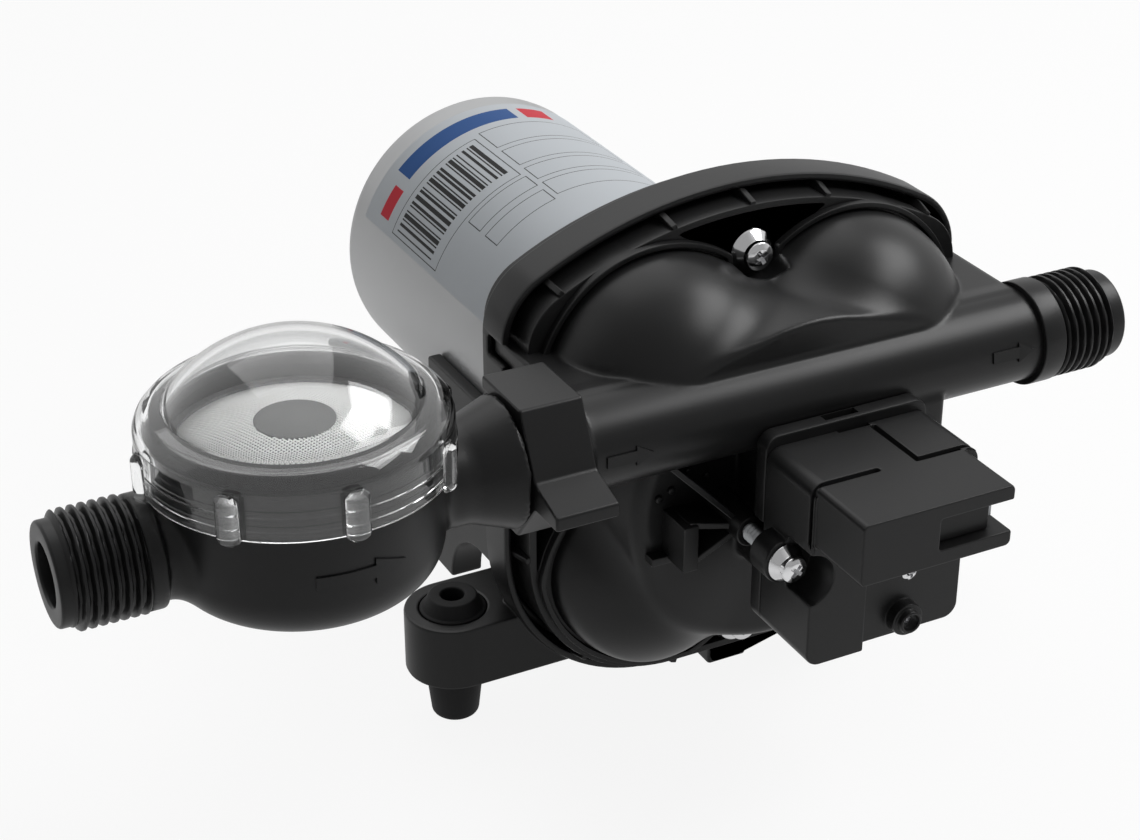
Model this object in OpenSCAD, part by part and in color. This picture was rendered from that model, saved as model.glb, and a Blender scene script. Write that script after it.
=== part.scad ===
// Twelve-volt diaphragm water pump for a caravan: a can motor drives a wobble plate with four
// diaphragm pistons. A cross tube over the head carries the water, a clipped-on strainer filters
// the inlet, and a pressure switch on the front of the head turns the motor off.
// Axes: X along the water tube to the outlet, Y to the rear of the motor, Z up.
// The origin lies on the ground, midway between the bolts of the two front feet.

/* [Stance] */
// Height of the motor axis above the ground
axis_height = 54.5; // [54:0.5:64]
// Distance from the front face of the flange back to the line of the front feet
foot_setback = 12; // [9:0.5:15]
// Half the distance between the bolts of the front feet
foot_half_span = 57.7; // [57:0.1:70]
// Radius of the rounded end of a foot arm
foot_arm_radius = 10; // [8.5:0.5:11]
// Height of the underside of a foot arm above the ground
foot_arm_low = 11.5; // [10:0.5:14]
// Thickness of a foot arm
foot_arm_thick = 14; // [12:0.5:16]
// Radius of the bolt hole through a rubber foot
foot_hole_radius = 2.4; // [2:0.1:2.8]
// Largest radius of a rubber foot
foot_rubber_radius = 6.3; // [6:0.1:7.5]

/* [Motor] */
// Outer radius of the motor can
can_radius = 33.8; // [33.2:0.2:35.4]
// Length of the motor can
can_length = 83; // [80:1:110]
// Thickness of the sheet that the can is drawn from
can_wall = 1.6; // [1.2:0.1:2.2]
// Rounding of the rear edge of the can
can_edge = 5; // [3:0.5:7]
// Thickness of the front end plate of the motor
end_plate = 4; // [3:0.5:5]
// Radius of the motor shaft
shaft_radius = 4; // [3:0.25:4.5]
// Radius of the laminated armature core
core_radius = 26; // [24:0.2:26.4]
// Length of the laminated armature core
core_length = 42; // [30:1:44]
// Number of slots in the armature core
slot_count = 12; // [8:1:14]
// Thickness of a field magnet
magnet_thick = 5; // [4:0.2:5.4]
// Angle that one field magnet spans
magnet_span = 130; // [100:5:150]
// Radius of the commutator
commutator_radius = 10; // [8:0.5:12]

/* [Pump head] */
// Half width of the flange
flange_half = 51.4; // [51:0.1:55]
// Distance from the motor axis up to the top of the flange
flange_top = 57.3; // [56:0.1:60]
// Distance from the motor axis down to the lower edge of the flange
flange_low = 48.9; // [48.9:0.1:51]
// Radius of the wide arch along the top of the flange
flange_arch = 90; // [84:1:100]
// Radius of the upper corners of the flange
flange_top_corner = 15; // [13:0.5:18]
// Radius of the lower corners of the flange
flange_low_corner = 36; // [33:0.5:38]
// Thickness of the outer rim, which belongs to the drive housing
rim_wall = 1.6; // [1.2:0.1:2.4]
// Width of the groove between the outer rim and the head
rim_groove = 1.6; // [1:0.1:2]
// Thickness of the wall that stands round the edge of the head
head_wall = 1.6; // [1.4:0.1:2]
// How far the wall of the head stands in front of the outer rim
wall_step = 4.6; // [3:0.1:5]
// How far the rings round the domes stand in front of that wall
ring_step = 1.5; // [1:0.1:2]
// Depth of the head from its front rim to the diaphragm
head_depth = 7; // [6.5:0.5:8]
// Thickness of the plate between the walls of the head
head_plate = 4; // [3:0.5:5]
// Sideways distance of a pumping chamber from the motor axis
lobe_x = 21; // [20.5:0.1:21.5]
// Upward distance of a pumping chamber from the motor axis
lobe_z = 20.3; // [20:0.1:20.5]
// Radius of a chamber dome
dome_radius = 24.5; // [24:0.1:24.5]
// Outer radius of the rim round a dome
lobe_rim_radius = 25; // [25:0.05:25.1]
// Height of the low domes above the front face of the flange
low_dome_height = 20; // [16:0.5:20.5]
// Radius of the two tall upper domes
tall_radius = 24.4; // [24:0.1:24.6]
// Distance of the centres of the tall domes above the motor axis
tall_rise = 24.3; // [23.8:0.1:24.5]
// Length of the straight part of the tall domes in front of the outer rim
tall_dome_straight = 5.8; // [5:0.1:7]
// Wall of the head round its water spaces
head_shell = 2.5; // [2:0.1:3]
// Radius of the round boss that carries the switch
boss_radius = 33.4; // [32:0.2:34]
// Height of the round boss above the front face of the flange
boss_height = 21; // [20.8:0.2:23]
// Radius of the fairing between the two upper domes
saddle_radius = 39.5; // [37:0.5:40]
// Distance of the screws of the head from the motor axis
head_screw_offset = 44.4; // [44:0.1:45]
// Radius of the washer head of a screw
screw_head_radius = 4.05; // [3.6:0.05:4.4]

/* [Water tube] */
// Outer radius of the tube across the head
tube_radius = 9.3; // [8.8:0.1:9.7]
// Bore radius of the tube
tube_bore = 6.5; // [5:0.1:7]
// Distance of the tube axis above the motor axis
tube_rise = 24; // [23.6:0.2:26]
// Distance of the tube axis in front of the flange
tube_forward = 24; // [22:0.5:26]
// Right end of the web between the tube and the flange
web_right = 49.8; // [48:0.2:52]
// Thickness of the web between the tube and the flange
web_thick = 4; // [3:0.5:5]
// Radius over the crests of the inlet thread
thread_radius = 10.4775; // [10:0.0005:11]
// How much smaller the outlet thread is moulded
outlet_shrink = 0.17; // [0.16:0.01:0.25]
// Length of the outlet thread
outlet_thread = 12.6; // [10:0.2:18]

/* [Slide clip] */
// Length of the clip along the tube
clip_length = 12.5; // [10:0.5:13]
// Left face of the clip
clip_left = -62.7; // [-64:0.1:-62]
// Thickness of the upper and lower arms of the clip
clip_arm = 2.8; // [2:0.1:4]
// Travel that frees the strainer
clip_travel = 8; // [7.5:0.5:9]

/* [Strainer] */
// Distance from the clip to the axis of the strainer bowl
bowl_offset = 38.9; // [38:0.1:46]
// Outer radius of the bowl
bowl_radius = 25; // [24:0.2:26]
// Depth of the bowl below the tube axis
bowl_drop = 12.4; // [12:0.2:18]
// Height of the bowl above the tube axis
bowl_rise = 18.4; // [17:0.2:20]
// Rounding of the lower edge of the bowl
bowl_edge = 9; // [5:0.5:10]
// Wall of the bowl
bowl_wall = 2.2; // [1.8:0.1:2.6]
// Height of the skirt of the clear cover
cover_skirt = 10.5; // [8:0.5:12]
// Wall of the clear cover
cover_wall = 1.6; // [1.2:0.1:2]
// Radius of the clear dome at its foot
cover_dome_radius = 22.3; // [21:0.1:22.6]
// Height of the clear dome
cover_dome_height = 10.8; // [8:0.2:12]
// Number of grip lugs on the clear cover
lug_count = 8; // [6:1:12]
// Length of the inlet thread
inlet_thread = 14; // [10:0.5:14]
// Reach of the inlet beyond the bowl axis
inlet_reach = 45; // [44.5:0.5:52]

/* [Pressure switch] */
// Left face of the switch
switch_left = -15.5; // [-16.5:0.1:-14.5]
// Width of the switch
switch_wide = 35.7; // [34:0.1:38]
// Height of the switch
switch_high = 38.6; // [37:0.1:39]
// Thickness of the base of the switch
switch_base_thick = 3.6; // [3.2:0.1:5]
// Depth of the cover of the switch
switch_cover_depth = 16.8; // [16.8:0.1:20]
// Setback of the lower right of the cover's front
switch_step = 2.4; // [1.5:0.1:3]
// Wall of the cover
switch_wall = 2; // [1.6:0.1:2.4]
// Reach of the connector shroud in front of the cover
shroud_reach = 15; // [13:0.5:18]
// Height of the connector shroud
shroud_high = 12.6; // [12:0.1:14]
// Travel of the plunger
plunger_travel = 1; // [0.6:0.1:1.2]

/* [Drive] */
// Tilt of the cam seat, which makes the plate wobble
cam_tilt = 2.5; // [1.5:0.1:2.8]
// Radius of a diaphragm piston
piston_radius = 13; // [11:0.25:13]
// Thickness of the diaphragm
diaphragm_thick = 1.6; // [1.2:0.1:2]
// Depth of the drive housing behind the diaphragm
housing_depth = 29.4; // [29:0.2:34]

/* [Fits] */
// Radial running clearance of round pieces that turn or slide
run_gap = 0.05; // [0.02:0.01:0.08]
// Clearance between pieces that are set into each other
set_gap = 0.1; // [0.05:0.05:0.2]
// Clearance of curved faces that move past each other
move_gap = 0.4; // [0.3:0.05:0.6]

/* [Hidden] */
$fn = 96;
black = [0.05, 0.05, 0.05];
dark_rubber = [0.03, 0.03, 0.03];
steel = [0.72, 0.73, 0.74];
copper = [0.72, 0.42, 0.25];
past = 0.5;

flange_y = -foot_setback;
joint_y = flange_y + head_depth;
housing_y = joint_y + diaphragm_thick;
motor_y = housing_y + housing_depth;
can_y = motor_y + end_plate;
can_rear = can_y + can_length;
tube_y = flange_y - tube_forward;
tube_z = axis_height + tube_rise;
boss_y = flange_y - boss_height;
top_c = flange_half - flange_top_corner;
arch_c = flange_top - flange_arch;
top_cz = arch_c + sqrt(pow(flange_arch - flange_top_corner, 2) - top_c * top_c);
low_c = flange_half - flange_low_corner;
low_cz = flange_low - flange_low_corner;
head_inset = rim_wall + rim_groove;
lobes = [for (sx = [-1, 1], sz = [-1, 1]) [sx * lobe_x, sz * lobe_z]];

// A shape drawn in the XZ plane, raised towards the front from the plane y
module to_front(y, x = 0, z = axis_height) translate([x, y, z]) rotate([90, 0, 0]) children();
// A shape raised to the right from the plane x
module to_right(x, y = tube_y, z = tube_z) translate([x, y, z]) rotate([0, 90, 0]) children();

// Solid bar and ring along the motor axis or beside it
module bar_y(y0, y1, r, x = 0, z = axis_height) to_front(y1, x, z) cylinder(h = y1 - y0, r = r);
module ring_y(y0, y1, ro, ri, x = 0, z = axis_height) {
    difference() {
        bar_y(y0, y1, ro, x, z);
        bar_y(y0 - past, y1 + past, ri, x, z);
    }
}
// Solid bar along the tube axis
module bar_x(x0, x1, r) to_right(x0) cylinder(h = x1 - x0, r = r);
module block(x0, x1, y0, y1, z0, z1) translate([x0, y0, z0]) cube([x1 - x0, y1 - y0, z1 - z0]);

// Rounded outline of the flange, drawn round the motor axis
module flange_outline(inset = 0) {
    far = 2 * (top_cz - arch_c);
    intersection() {
        translate([0, arch_c]) circle(flange_arch - inset, $fn = 240);
        polygon([[0, arch_c], [top_c, top_cz], [2 * top_c, arch_c + far],
            [-2 * top_c, arch_c + far], [-top_c, top_cz]]);
    }
    translate([-flange_half + inset, -low_cz]) square([2 * (flange_half - inset), low_cz + top_cz]);
    translate([-low_c, inset - flange_low]) square([2 * low_c, flange_low_corner - inset]);
    for (s = [-1, 1]) {
        translate([s * top_c, top_cz]) circle(flange_top_corner - inset);
        translate([s * low_c, -low_cz]) circle(flange_low_corner - inset);
    }
}
// Rounded square that holds a circle of radius r round each chamber
module lobe_square(r) {
    square([2 * lobe_x, 2 * (lobe_z + r)], center = true);
    square([2 * (lobe_x + r), 2 * lobe_z], center = true);
    for (p = lobes) translate(p) circle(r);
}
// Rectangle with round corners, from its lower left corner
module round_rect(w, h, r) {
    translate([r, 0]) square([w - 2 * r, h]);
    translate([0, r]) square([w, h - 2 * r]);
    for (x = [r, w - r], y = [r, h - r]) translate([x, y]) circle(r);
}
// Half section of a round cup with a rounded lower edge
module cup_section(r, h, edge) {
    square([r - edge, h]);
    translate([0, edge]) square([r, h - edge]);
    intersection() {
        translate([r - edge, edge]) circle(edge);
        square([r, h]);
    }
}

// Motor

magnet_y0 = can_y + 12;
core_y0 = magnet_y0 + 4;
core_y1 = core_y0 + core_length;
coil_end = 6;
commutator_y0 = core_y1 + coil_end + 2;
commutator_y1 = commutator_y0 + 10;
bearing_seat = 8;
bearing_wide = 7;
rear_bush = 5;
rear_cup_radius = bearing_seat + 1.5;
rear_cup = 2.5;
brush_wide = 6;
brush_high = 5;
slot_radius = 3.4;
slot_ring = core_radius - slot_radius - 2.6;
motor_screw_offset = 22;
motor_screw_radius = 2;

module motor_can() {
    color(steel) difference() {
        union() {
            to_front(can_rear) rotate_extrude() cup_section(can_radius, can_length, can_edge);
            bar_y(can_rear - 1, can_rear + rear_cup, rear_cup_radius);
        }
        to_front(can_rear - can_wall) rotate_extrude()
            cup_section(can_radius - can_wall, can_length, can_edge - can_wall);
        bar_y(can_rear - can_wall - past, can_rear + rear_cup - can_wall, bearing_seat + set_gap);
    }
}
module motor_end_plate() {
    color(steel) difference() {
        bar_y(motor_y, can_y, can_radius);
        bar_y(motor_y - past, can_y + past, 11 + set_gap);
        for (s = [-1, 1])
            bar_y(motor_y - past, can_y + past, motor_screw_radius + set_gap, s * motor_screw_offset);
    }
}
module motor_screws() {
    color(steel) for (s = [-1, 1]) {
        bar_y(motor_y - 6, can_y + 3, motor_screw_radius, s * motor_screw_offset);
        bar_y(motor_y - 8.6, motor_y - 6, motor_screw_radius * 1.9, s * motor_screw_offset);
    }
}
module magnets() {
    magnet_ro = can_radius - can_wall - set_gap;
    color([0.25, 0.25, 0.27]) for (s = [0, 180])
        to_front(magnet_y0 + core_length + 8) rotate([0, 0, s - magnet_span / 2])
            rotate_extrude(angle = magnet_span)
                translate([magnet_ro - magnet_thick, 0]) square([magnet_thick, core_length + 8]);
}
module armature_core() {
    color([0.45, 0.46, 0.48]) difference() {
        bar_y(core_y0, core_y1, core_radius);
        bar_y(core_y0 - past, core_y1 + past, shaft_radius);
        for (i = [0:slot_count - 1]) to_front(core_y1 + past) rotate([0, 0, i * 360 / slot_count]) {
            translate([slot_ring, 0, 0]) cylinder(h = core_length + 2 * past, r = slot_radius);
            translate([slot_ring, -0.8, 0]) cube([core_radius, 1.6, core_length + 2 * past]);
        }
    }
}
module armature_windings() {
    color(copper) {
        for (y = [core_y0 - coil_end, core_y1])
            ring_y(y, y + coil_end, slot_ring + slot_radius, slot_ring - slot_radius);
        for (i = [0:slot_count - 1]) to_front(core_y1 + 1) rotate([0, 0, i * 360 / slot_count])
            translate([slot_ring, 0, 0]) cylinder(h = core_length + 2, r = slot_radius - set_gap);
    }
}
module commutator() {
    color(copper) difference() {
        ring_y(commutator_y0, commutator_y1, commutator_radius, shaft_radius);
        for (i = [0:slot_count - 1]) to_front(commutator_y1 + past) rotate([0, 0, i * 360 / slot_count])
            translate([commutator_radius - 1.5, -0.25, 0])
                cube([3, 0.5, commutator_y1 - commutator_y0 + 2 * past]);
    }
}
module motor_shaft() {
    color(steel)
        bar_y(cam_y - cam_bearing_wide / 2 - 1, can_rear + rear_cup - can_wall - 0.5, shaft_radius);
}
module front_bearing() {
    color(steel) ring_y(motor_y - bearing_wide + end_plate, can_y, 11, shaft_radius + run_gap);
}
module rear_bearing() {
    bush_rear = can_rear + rear_cup - can_wall;
    color([0.6, 0.5, 0.35]) ring_y(bush_rear - rear_bush, bush_rear, bearing_seat, shaft_radius + run_gap);
}
module brush_holder() {
    color([0.35, 0.25, 0.18]) difference() {
        ring_y(commutator_y0 + 1, commutator_y1 - 1, can_radius - can_wall - set_gap,
            commutator_radius + 2);
        for (s = [0, 1]) mirror([s, 0, 0]) block(0, can_radius - can_wall - 3,
            commutator_y0 + 2 - set_gap, commutator_y0 + 2 + brush_high + set_gap,
            axis_height - brush_wide / 2 - set_gap, axis_height + brush_wide / 2 + set_gap);
    }
}
module brushes() {
    color([0.12, 0.12, 0.12]) for (s = [0, 1]) mirror([s, 0, 0]) difference() {
        block(commutator_radius - 1, can_radius - can_wall - 6, commutator_y0 + 2,
            commutator_y0 + 2 + brush_high,
            axis_height - brush_wide / 2, axis_height + brush_wide / 2);
        bar_y(commutator_y0, commutator_y1, commutator_radius + run_gap);
    }
}
label_thick = 0.15;
label_front = can_y + 6;
label_rear = can_rear - 10;
label_half_angle = 69;
module motor_label() {
    color([0.85, 0.86, 0.87]) to_front(label_rear) rotate([0, 0, 90 - label_half_angle])
        rotate_extrude(angle = 2 * label_half_angle)
            translate([can_radius + 0.02, 0]) square([label_thick, label_rear - label_front]);
}

// Drive between the motor and the diaphragm

cam_y = housing_y + 14;
cam_seat = 10;
cam_bearing_radius = 17.5;
cam_bearing_wide = 8;
plate_ring = 3.4;
pad_radius = 12;
pad_front = housing_y + 1.5;
pad_rear = pad_front + 1.4;
bell_front = 43;
bell_rear = 36.5;
housing_plate = 5;
bell_wall = 3.5;
rear_wall = 4;
hook_wide = 9.3;
hook_right = 5.3;
hook_deep = 6;
hook_wall = 1.2;
hook_low = axis_height - flange_low - 4.2;
band_rear = 0.5;
plate_inset = 2.4;
foot_recess = 1;

// Turns a shape with the tilted seat of the cam, which leans upwards at the front
module tilted() {
    translate([0, cam_y, axis_height]) rotate([cam_tilt, 0, 0])
        translate([0, -cam_y, -axis_height]) children();
}

module eccentric_hub() {
    color(steel) difference() {
        union() {
            bar_y(cam_y + cam_bearing_wide / 2, cam_y + cam_bearing_wide / 2 + 4, 8);
            tilted() bar_y(cam_y - cam_bearing_wide / 2 - 0.5, cam_y + cam_bearing_wide / 2 + 0.5,
                cam_seat);
        }
        bar_y(cam_y - 10, cam_y + 15, shaft_radius);
    }
}
module cam_bearing() {
    color(steel) tilted()
        ring_y(cam_y - cam_bearing_wide / 2, cam_y + cam_bearing_wide / 2, cam_bearing_radius,
            cam_seat + run_gap);
}
module wobble_plate() {
    color([0.8, 0.8, 0.78]) tilted() {
        ring_y(cam_y - cam_bearing_wide / 2 - 2, cam_y + cam_bearing_wide / 2,
            cam_bearing_radius + plate_ring, cam_bearing_radius);
        bar_y(pad_front + 0.2, cam_y - cam_bearing_wide / 2 - 2 + 0.01, cam_bearing_radius + plate_ring);
        for (p = lobes) {
            bar_y(pad_front, pad_rear, pad_radius, p[0], axis_height + p[1]);
        }
    }
}
module diaphragm_pistons() {
    color([0.8, 0.8, 0.78]) tilted() for (p = lobes)
        bar_y(joint_y - 0.4, pad_front, piston_radius, p[0], axis_height + p[1]);
}
piston_room = 1.1;
module diaphragm() {
    color(dark_rubber) difference() {
        to_front(housing_y) linear_extrude(diaphragm_thick) flange_outline(head_inset);
        for (p = lobes)
            bar_y(joint_y - past, housing_y + past, piston_radius + piston_room, p[0], axis_height + p[1]);
        screw_holes();
    }
}
low_screw_offset = flange_low - 8.6;
side_screw_offset = flange_half - 8;
head_screw_places = [[0, head_screw_offset], [side_screw_offset, 0],
    [-side_screw_offset, 0], [0, -low_screw_offset]];
head_screw_shank = 2.2;
screw_seat = flange_y - 4;
screw_end = housing_y + housing_plate;
module screw_holes() {
    for (p = head_screw_places)
        bar_y(flange_y - 20, screw_end + past, head_screw_shank + set_gap, p[0], axis_height + p[1]);
}
// Foot arm on the left, running from the rubber foot to the housing
module foot_arm() {
    translate([-foot_half_span, 0, foot_arm_low]) cylinder(h = foot_arm_thick, r = foot_arm_radius);
    block(-foot_half_span, -lobe_x - 8, -foot_arm_radius, foot_arm_radius,
        foot_arm_low, foot_arm_low + foot_arm_thick);
}
// Loop under the housing for a tie or a lead
module lead_hook() {
    hook_left = hook_right - hook_wide;
    difference() {
        block(hook_left, hook_right, flange_y, flange_y + hook_deep, hook_low,
            axis_height - flange_low + 1);
        block(hook_left + hook_wall, hook_right - hook_wall, flange_y - past, flange_y + hook_deep + past,
            hook_low + hook_wall, axis_height - flange_low);
    }
}
foot_neck = 4.4;
module drive_housing() {
    color(black) difference() {
        union() {

                to_front(housing_y + band_rear) linear_extrude(housing_y + band_rear - flange_y) flange_outline();
            to_front(housing_y + housing_plate) linear_extrude(housing_plate) flange_outline(plate_inset);
            to_front(motor_y) cylinder(h = housing_depth - housing_plate, r1 = bell_rear, r2 = bell_front);
            for (s = [0, 1]) mirror([s, 0, 0]) foot_arm();
            lead_hook();
        }
        to_front(joint_y) linear_extrude(head_depth + past + 20) flange_outline(rim_wall);
        to_front(housing_y) linear_extrude(diaphragm_thick + past) flange_outline(head_inset - set_gap);
        to_front(housing_y + housing_plate + past) linear_extrude(housing_plate + 2 * past)
            lobe_square(piston_radius + piston_room);
        to_front(motor_y - rear_wall) cylinder(h = housing_depth - housing_plate - rear_wall + 0.01,
            r1 = bell_rear - bell_wall, r2 = bell_front - bell_wall);
        bar_y(motor_y - rear_wall - past, motor_y + past, 11 + set_gap);
        block(-2 * flange_half, 2 * flange_half, flange_y - past, joint_y - past,
            tube_z + tube_radius - web_thick - set_gap, tube_z + tube_radius + set_gap);
        for (s = [-1, 1]) {
            bar_y(motor_y - rear_wall - past, motor_y + past, motor_screw_radius + set_gap,
                s * motor_screw_offset);
            translate([s * foot_half_span, 0, foot_arm_low - past])
                cylinder(h = foot_arm_thick + 2 * past, r = foot_neck + set_gap);
            translate([s * foot_half_span, 0, foot_arm_low + foot_arm_thick - foot_recess])
                cylinder(h = foot_recess + past, r = foot_rubber_radius + 0.6);
        }
        screw_holes();
    }
}
// Saddle under the motor, with two legs that stand on the ground
cradle_rear = can_y + 27;
cradle_half = can_radius + 3.1;
cradle_top = axis_height - 2.5;
leg_long = 8.5;
leg_wide = 7.5;
arch_high = 15;
arch_y = motor_y + 6;
module motor_cradle() {
    saddle_floor = axis_height - can_radius - 3.2;
    color(black) difference() {
        to_front(cradle_rear, 0, 0) linear_extrude(cradle_rear - motor_y) difference() {
            translate([-cradle_half, 0]) square([2 * cradle_half, cradle_top]);
            translate([0, axis_height]) circle(can_radius + set_gap);
            translate([-cradle_half + leg_wide, -past]) square([2 * (cradle_half - leg_wide),
                saddle_floor + past]);
        }
        block(-cradle_half - past, cradle_half + past, motor_y - past, arch_y, -past, arch_high);
        translate([-cradle_half - past, arch_y, 0]) rotate([0, 90, 0])
            cylinder(h = 2 * cradle_half + 2 * past, r = arch_high);
        block(-cradle_half - past, cradle_half + past, cradle_rear - leg_long - 5, cradle_rear - leg_long,
            arch_high, arch_high + 5);
    }
}
module rubber_feet() {
    foot_top = foot_arm_low + foot_arm_thick - foot_recess;
    rise = 3.8;
    color(dark_rubber) for (s = [-1, 1]) translate([s * foot_half_span, 0, 0]) difference() {
        union() {
            cylinder(h = foot_arm_low, r1 = foot_rubber_radius - 1.5, r2 = foot_rubber_radius - 0.2);
            cylinder(h = foot_top + rise, r = foot_neck);
            translate([0, 0, foot_top]) cylinder(h = rise, r1 = foot_rubber_radius,
                r2 = foot_rubber_radius - 1.4);
        }
        translate([0, 0, -past]) cylinder(h = foot_top + rise + 2 * past, r = foot_hole_radius);
    }
}

// Valves and head

valve_half = 17.4;
valve_front = flange_y - 2;
chamber_radius = piston_radius + 2;
chamber_floor = joint_y - 3.4;
valve_shift = 6;
valve_disc = 5;
valve_stem = 1.2;
valve_thick = 0.8;
// Places of the flap valves, towards the motor axis or away from it
function valve_places(way) = [for (p = lobes) [p[0] - way * sign(p[0]) * valve_shift, p[1]]];

module valve_plate() {
    color([0.75, 0.75, 0.72]) difference() {
        to_front(joint_y) linear_extrude(joint_y - valve_front) lobe_square(valve_half);
        for (p = lobes) bar_y(chamber_floor, joint_y + past, chamber_radius, p[0], axis_height + p[1]);
        for (way = [-1, 1], p = valve_places(way)) {
            bar_y(valve_front - past, chamber_floor + past, valve_stem, p[0], axis_height + p[1]);
            for (a = [0:72:288]) bar_y(valve_front - past, chamber_floor + past, 0.9,
                p[0] + 3.2 * cos(a), axis_height + p[1] + 3.2 * sin(a));
        }
    }
}
module inlet_valves() {
    color([0.5, 0.2, 0.15]) for (p = valve_places(1)) {
        bar_y(chamber_floor, chamber_floor + valve_thick, valve_disc, p[0], axis_height + p[1]);
        bar_y(valve_front - 1, chamber_floor + 0.1, valve_stem - run_gap, p[0], axis_height + p[1]);
    }
}
module outlet_valves() {
    color([0.5, 0.2, 0.15]) for (p = valve_places(-1)) {
        bar_y(valve_front - valve_thick, valve_front, valve_disc, p[0], axis_height + p[1]);
        bar_y(valve_front - 0.1, chamber_floor + 0.5, valve_stem - run_gap, p[0], axis_height + p[1]);
    }
}

low_sphere = (dome_radius * dome_radius + low_dome_height * low_dome_height) / (2 * low_dome_height);
low_centre = flange_y - low_dome_height + low_sphere;
tall_centre = flange_y - tall_dome_straight;
ring_front = flange_y - wall_step - ring_step;
ring_inner = tall_radius + 0.6;
ring_outer = ring_inner + 1.2;
post_radius = screw_head_radius + 0.65;
bridge_angles = [0, 18, 43, 76, 104, 137, 162];
bridge_wide = 1.3;
clip_right = clip_left + clip_length;
socket_radius = tube_radius + 0.7;
socket_bore = 8.1;
socket_end = clip_left + 0.5;
spigot_end = clip_right + 6;
slot_mid = clip_left + 6.5;
slot_wide = 2.6;
clip_tooth = 7.2;
collar_wide = 5;
outlet_radius = thread_radius - outlet_shrink;
collar_radius = thread_radius + 0.05;
outlet_tip = 3.2;
saddle_reach = 29.5;
switch_axis = [switch_left + 18, tube_rise - 3.1 - switch_high / 2];
sense_axis = [switch_axis[0] + 5, switch_axis[1] + 5.5];
clamp_axis = [switch_left - 0.3, tube_rise - 22.7];
clamp_boss = 3.1;
clamp_boss_high = 12.5;
rib_thick = 1.2;
pedestal_wide = 20;
pedestal_high = 24;
base_rear = tube_y - tube_radius - set_gap;
base_lift = 2;
sense_bore = 1.5;

// Spherical dome over a chamber, in front of the plane y
module low_dome(p, shrink, y) {
    intersection() {
        translate([p[0], low_centre, axis_height + p[1]]) sphere(low_sphere - shrink);
        bar_y(flange_y - low_dome_height - 1, y, dome_radius + 1, p[0], axis_height + p[1]);
    }
}
// Tall dome of an upper chamber, of which only the part above the tube axis stands free
module tall_dome(s, shrink, y) {
    intersection() {
        union() {
            bar_y(tall_centre, y, tall_radius - shrink, s * lobe_x, axis_height + tall_rise);
            translate([s * lobe_x, tall_centre, axis_height + tall_rise]) sphere(tall_radius - shrink);
        }
        block(-2 * flange_half, 2 * flange_half, flange_y - 60, y, tube_z + shrink, axis_height + 80);
    }
}
// Raised ring round the foot of a tall dome, above the web
module tall_ring(s) {
    intersection() {
        ring_y(ring_front, joint_y - 1, ring_outer, ring_inner, s * lobe_x, axis_height + tall_rise);
        block(-2 * flange_half, 2 * flange_half, ring_front - past, joint_y, tube_z + 1, axis_height + 80);
        to_front(joint_y) linear_extrude(head_depth + 20) flange_outline(head_inset);
    }
}
// Ribs on the outside of the wall of the head, which reach under the outer rim
module bridges() {
    intersection() {
        to_front(joint_y) linear_extrude(head_depth + wall_step - 0.6) difference() {
            flange_outline(rim_wall + set_gap);
            flange_outline(head_inset + 0.5);
        }
        for (s = [-1, 1], a = bridge_angles) to_front(joint_y) rotate([0, 0, s * a])
            translate([-bridge_wide / 2, flange_low * 0.8, 0]) cube([bridge_wide, flange_half, head_depth + wall_step]);
    }
}
// Screw boss beside the switch and the thin ribs that hold it
module clamp_rib(x0, z0) {
    dx = clamp_axis[0] - x0;
    dz = clamp_axis[1] - z0;
    to_front(boss_y + 0.1, x0, axis_height + z0) rotate([0, 0, atan2(dz, dx)])
        translate([0, -rib_thick / 2, 0]) cube([norm([dx, dz]), rib_thick, clamp_boss_high - 3]);
}
tab_x = -26.4;
tab_z = -2;
tab_wide = 3.3;
tab_high = 9.8;
tab_deep = 8.5;
module switch_ribs() {
    bar_y(boss_y - clamp_boss_high, boss_y + 0.1, clamp_boss, clamp_axis[0], axis_height + clamp_axis[1]);
    clamp_rib(tab_x - 4, tube_rise - tube_radius + 1.5);
    clamp_rib(tab_x, tab_z + 2.5);
    clamp_rib(tab_x, tab_z - 4);
    block(tab_x - tab_wide / 2, tab_x + tab_wide / 2, boss_y - tab_deep, boss_y + 0.1,
        axis_height + tab_z - tab_high / 2, axis_height + tab_z + tab_high / 2);
    block(switch_axis[0] - pedestal_wide / 2, switch_axis[0] + pedestal_wide / 2, base_rear, boss_y + 0.1,
        axis_height + switch_axis[1] - pedestal_high / 2, axis_height + switch_axis[1] + pedestal_high / 2);
}
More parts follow.
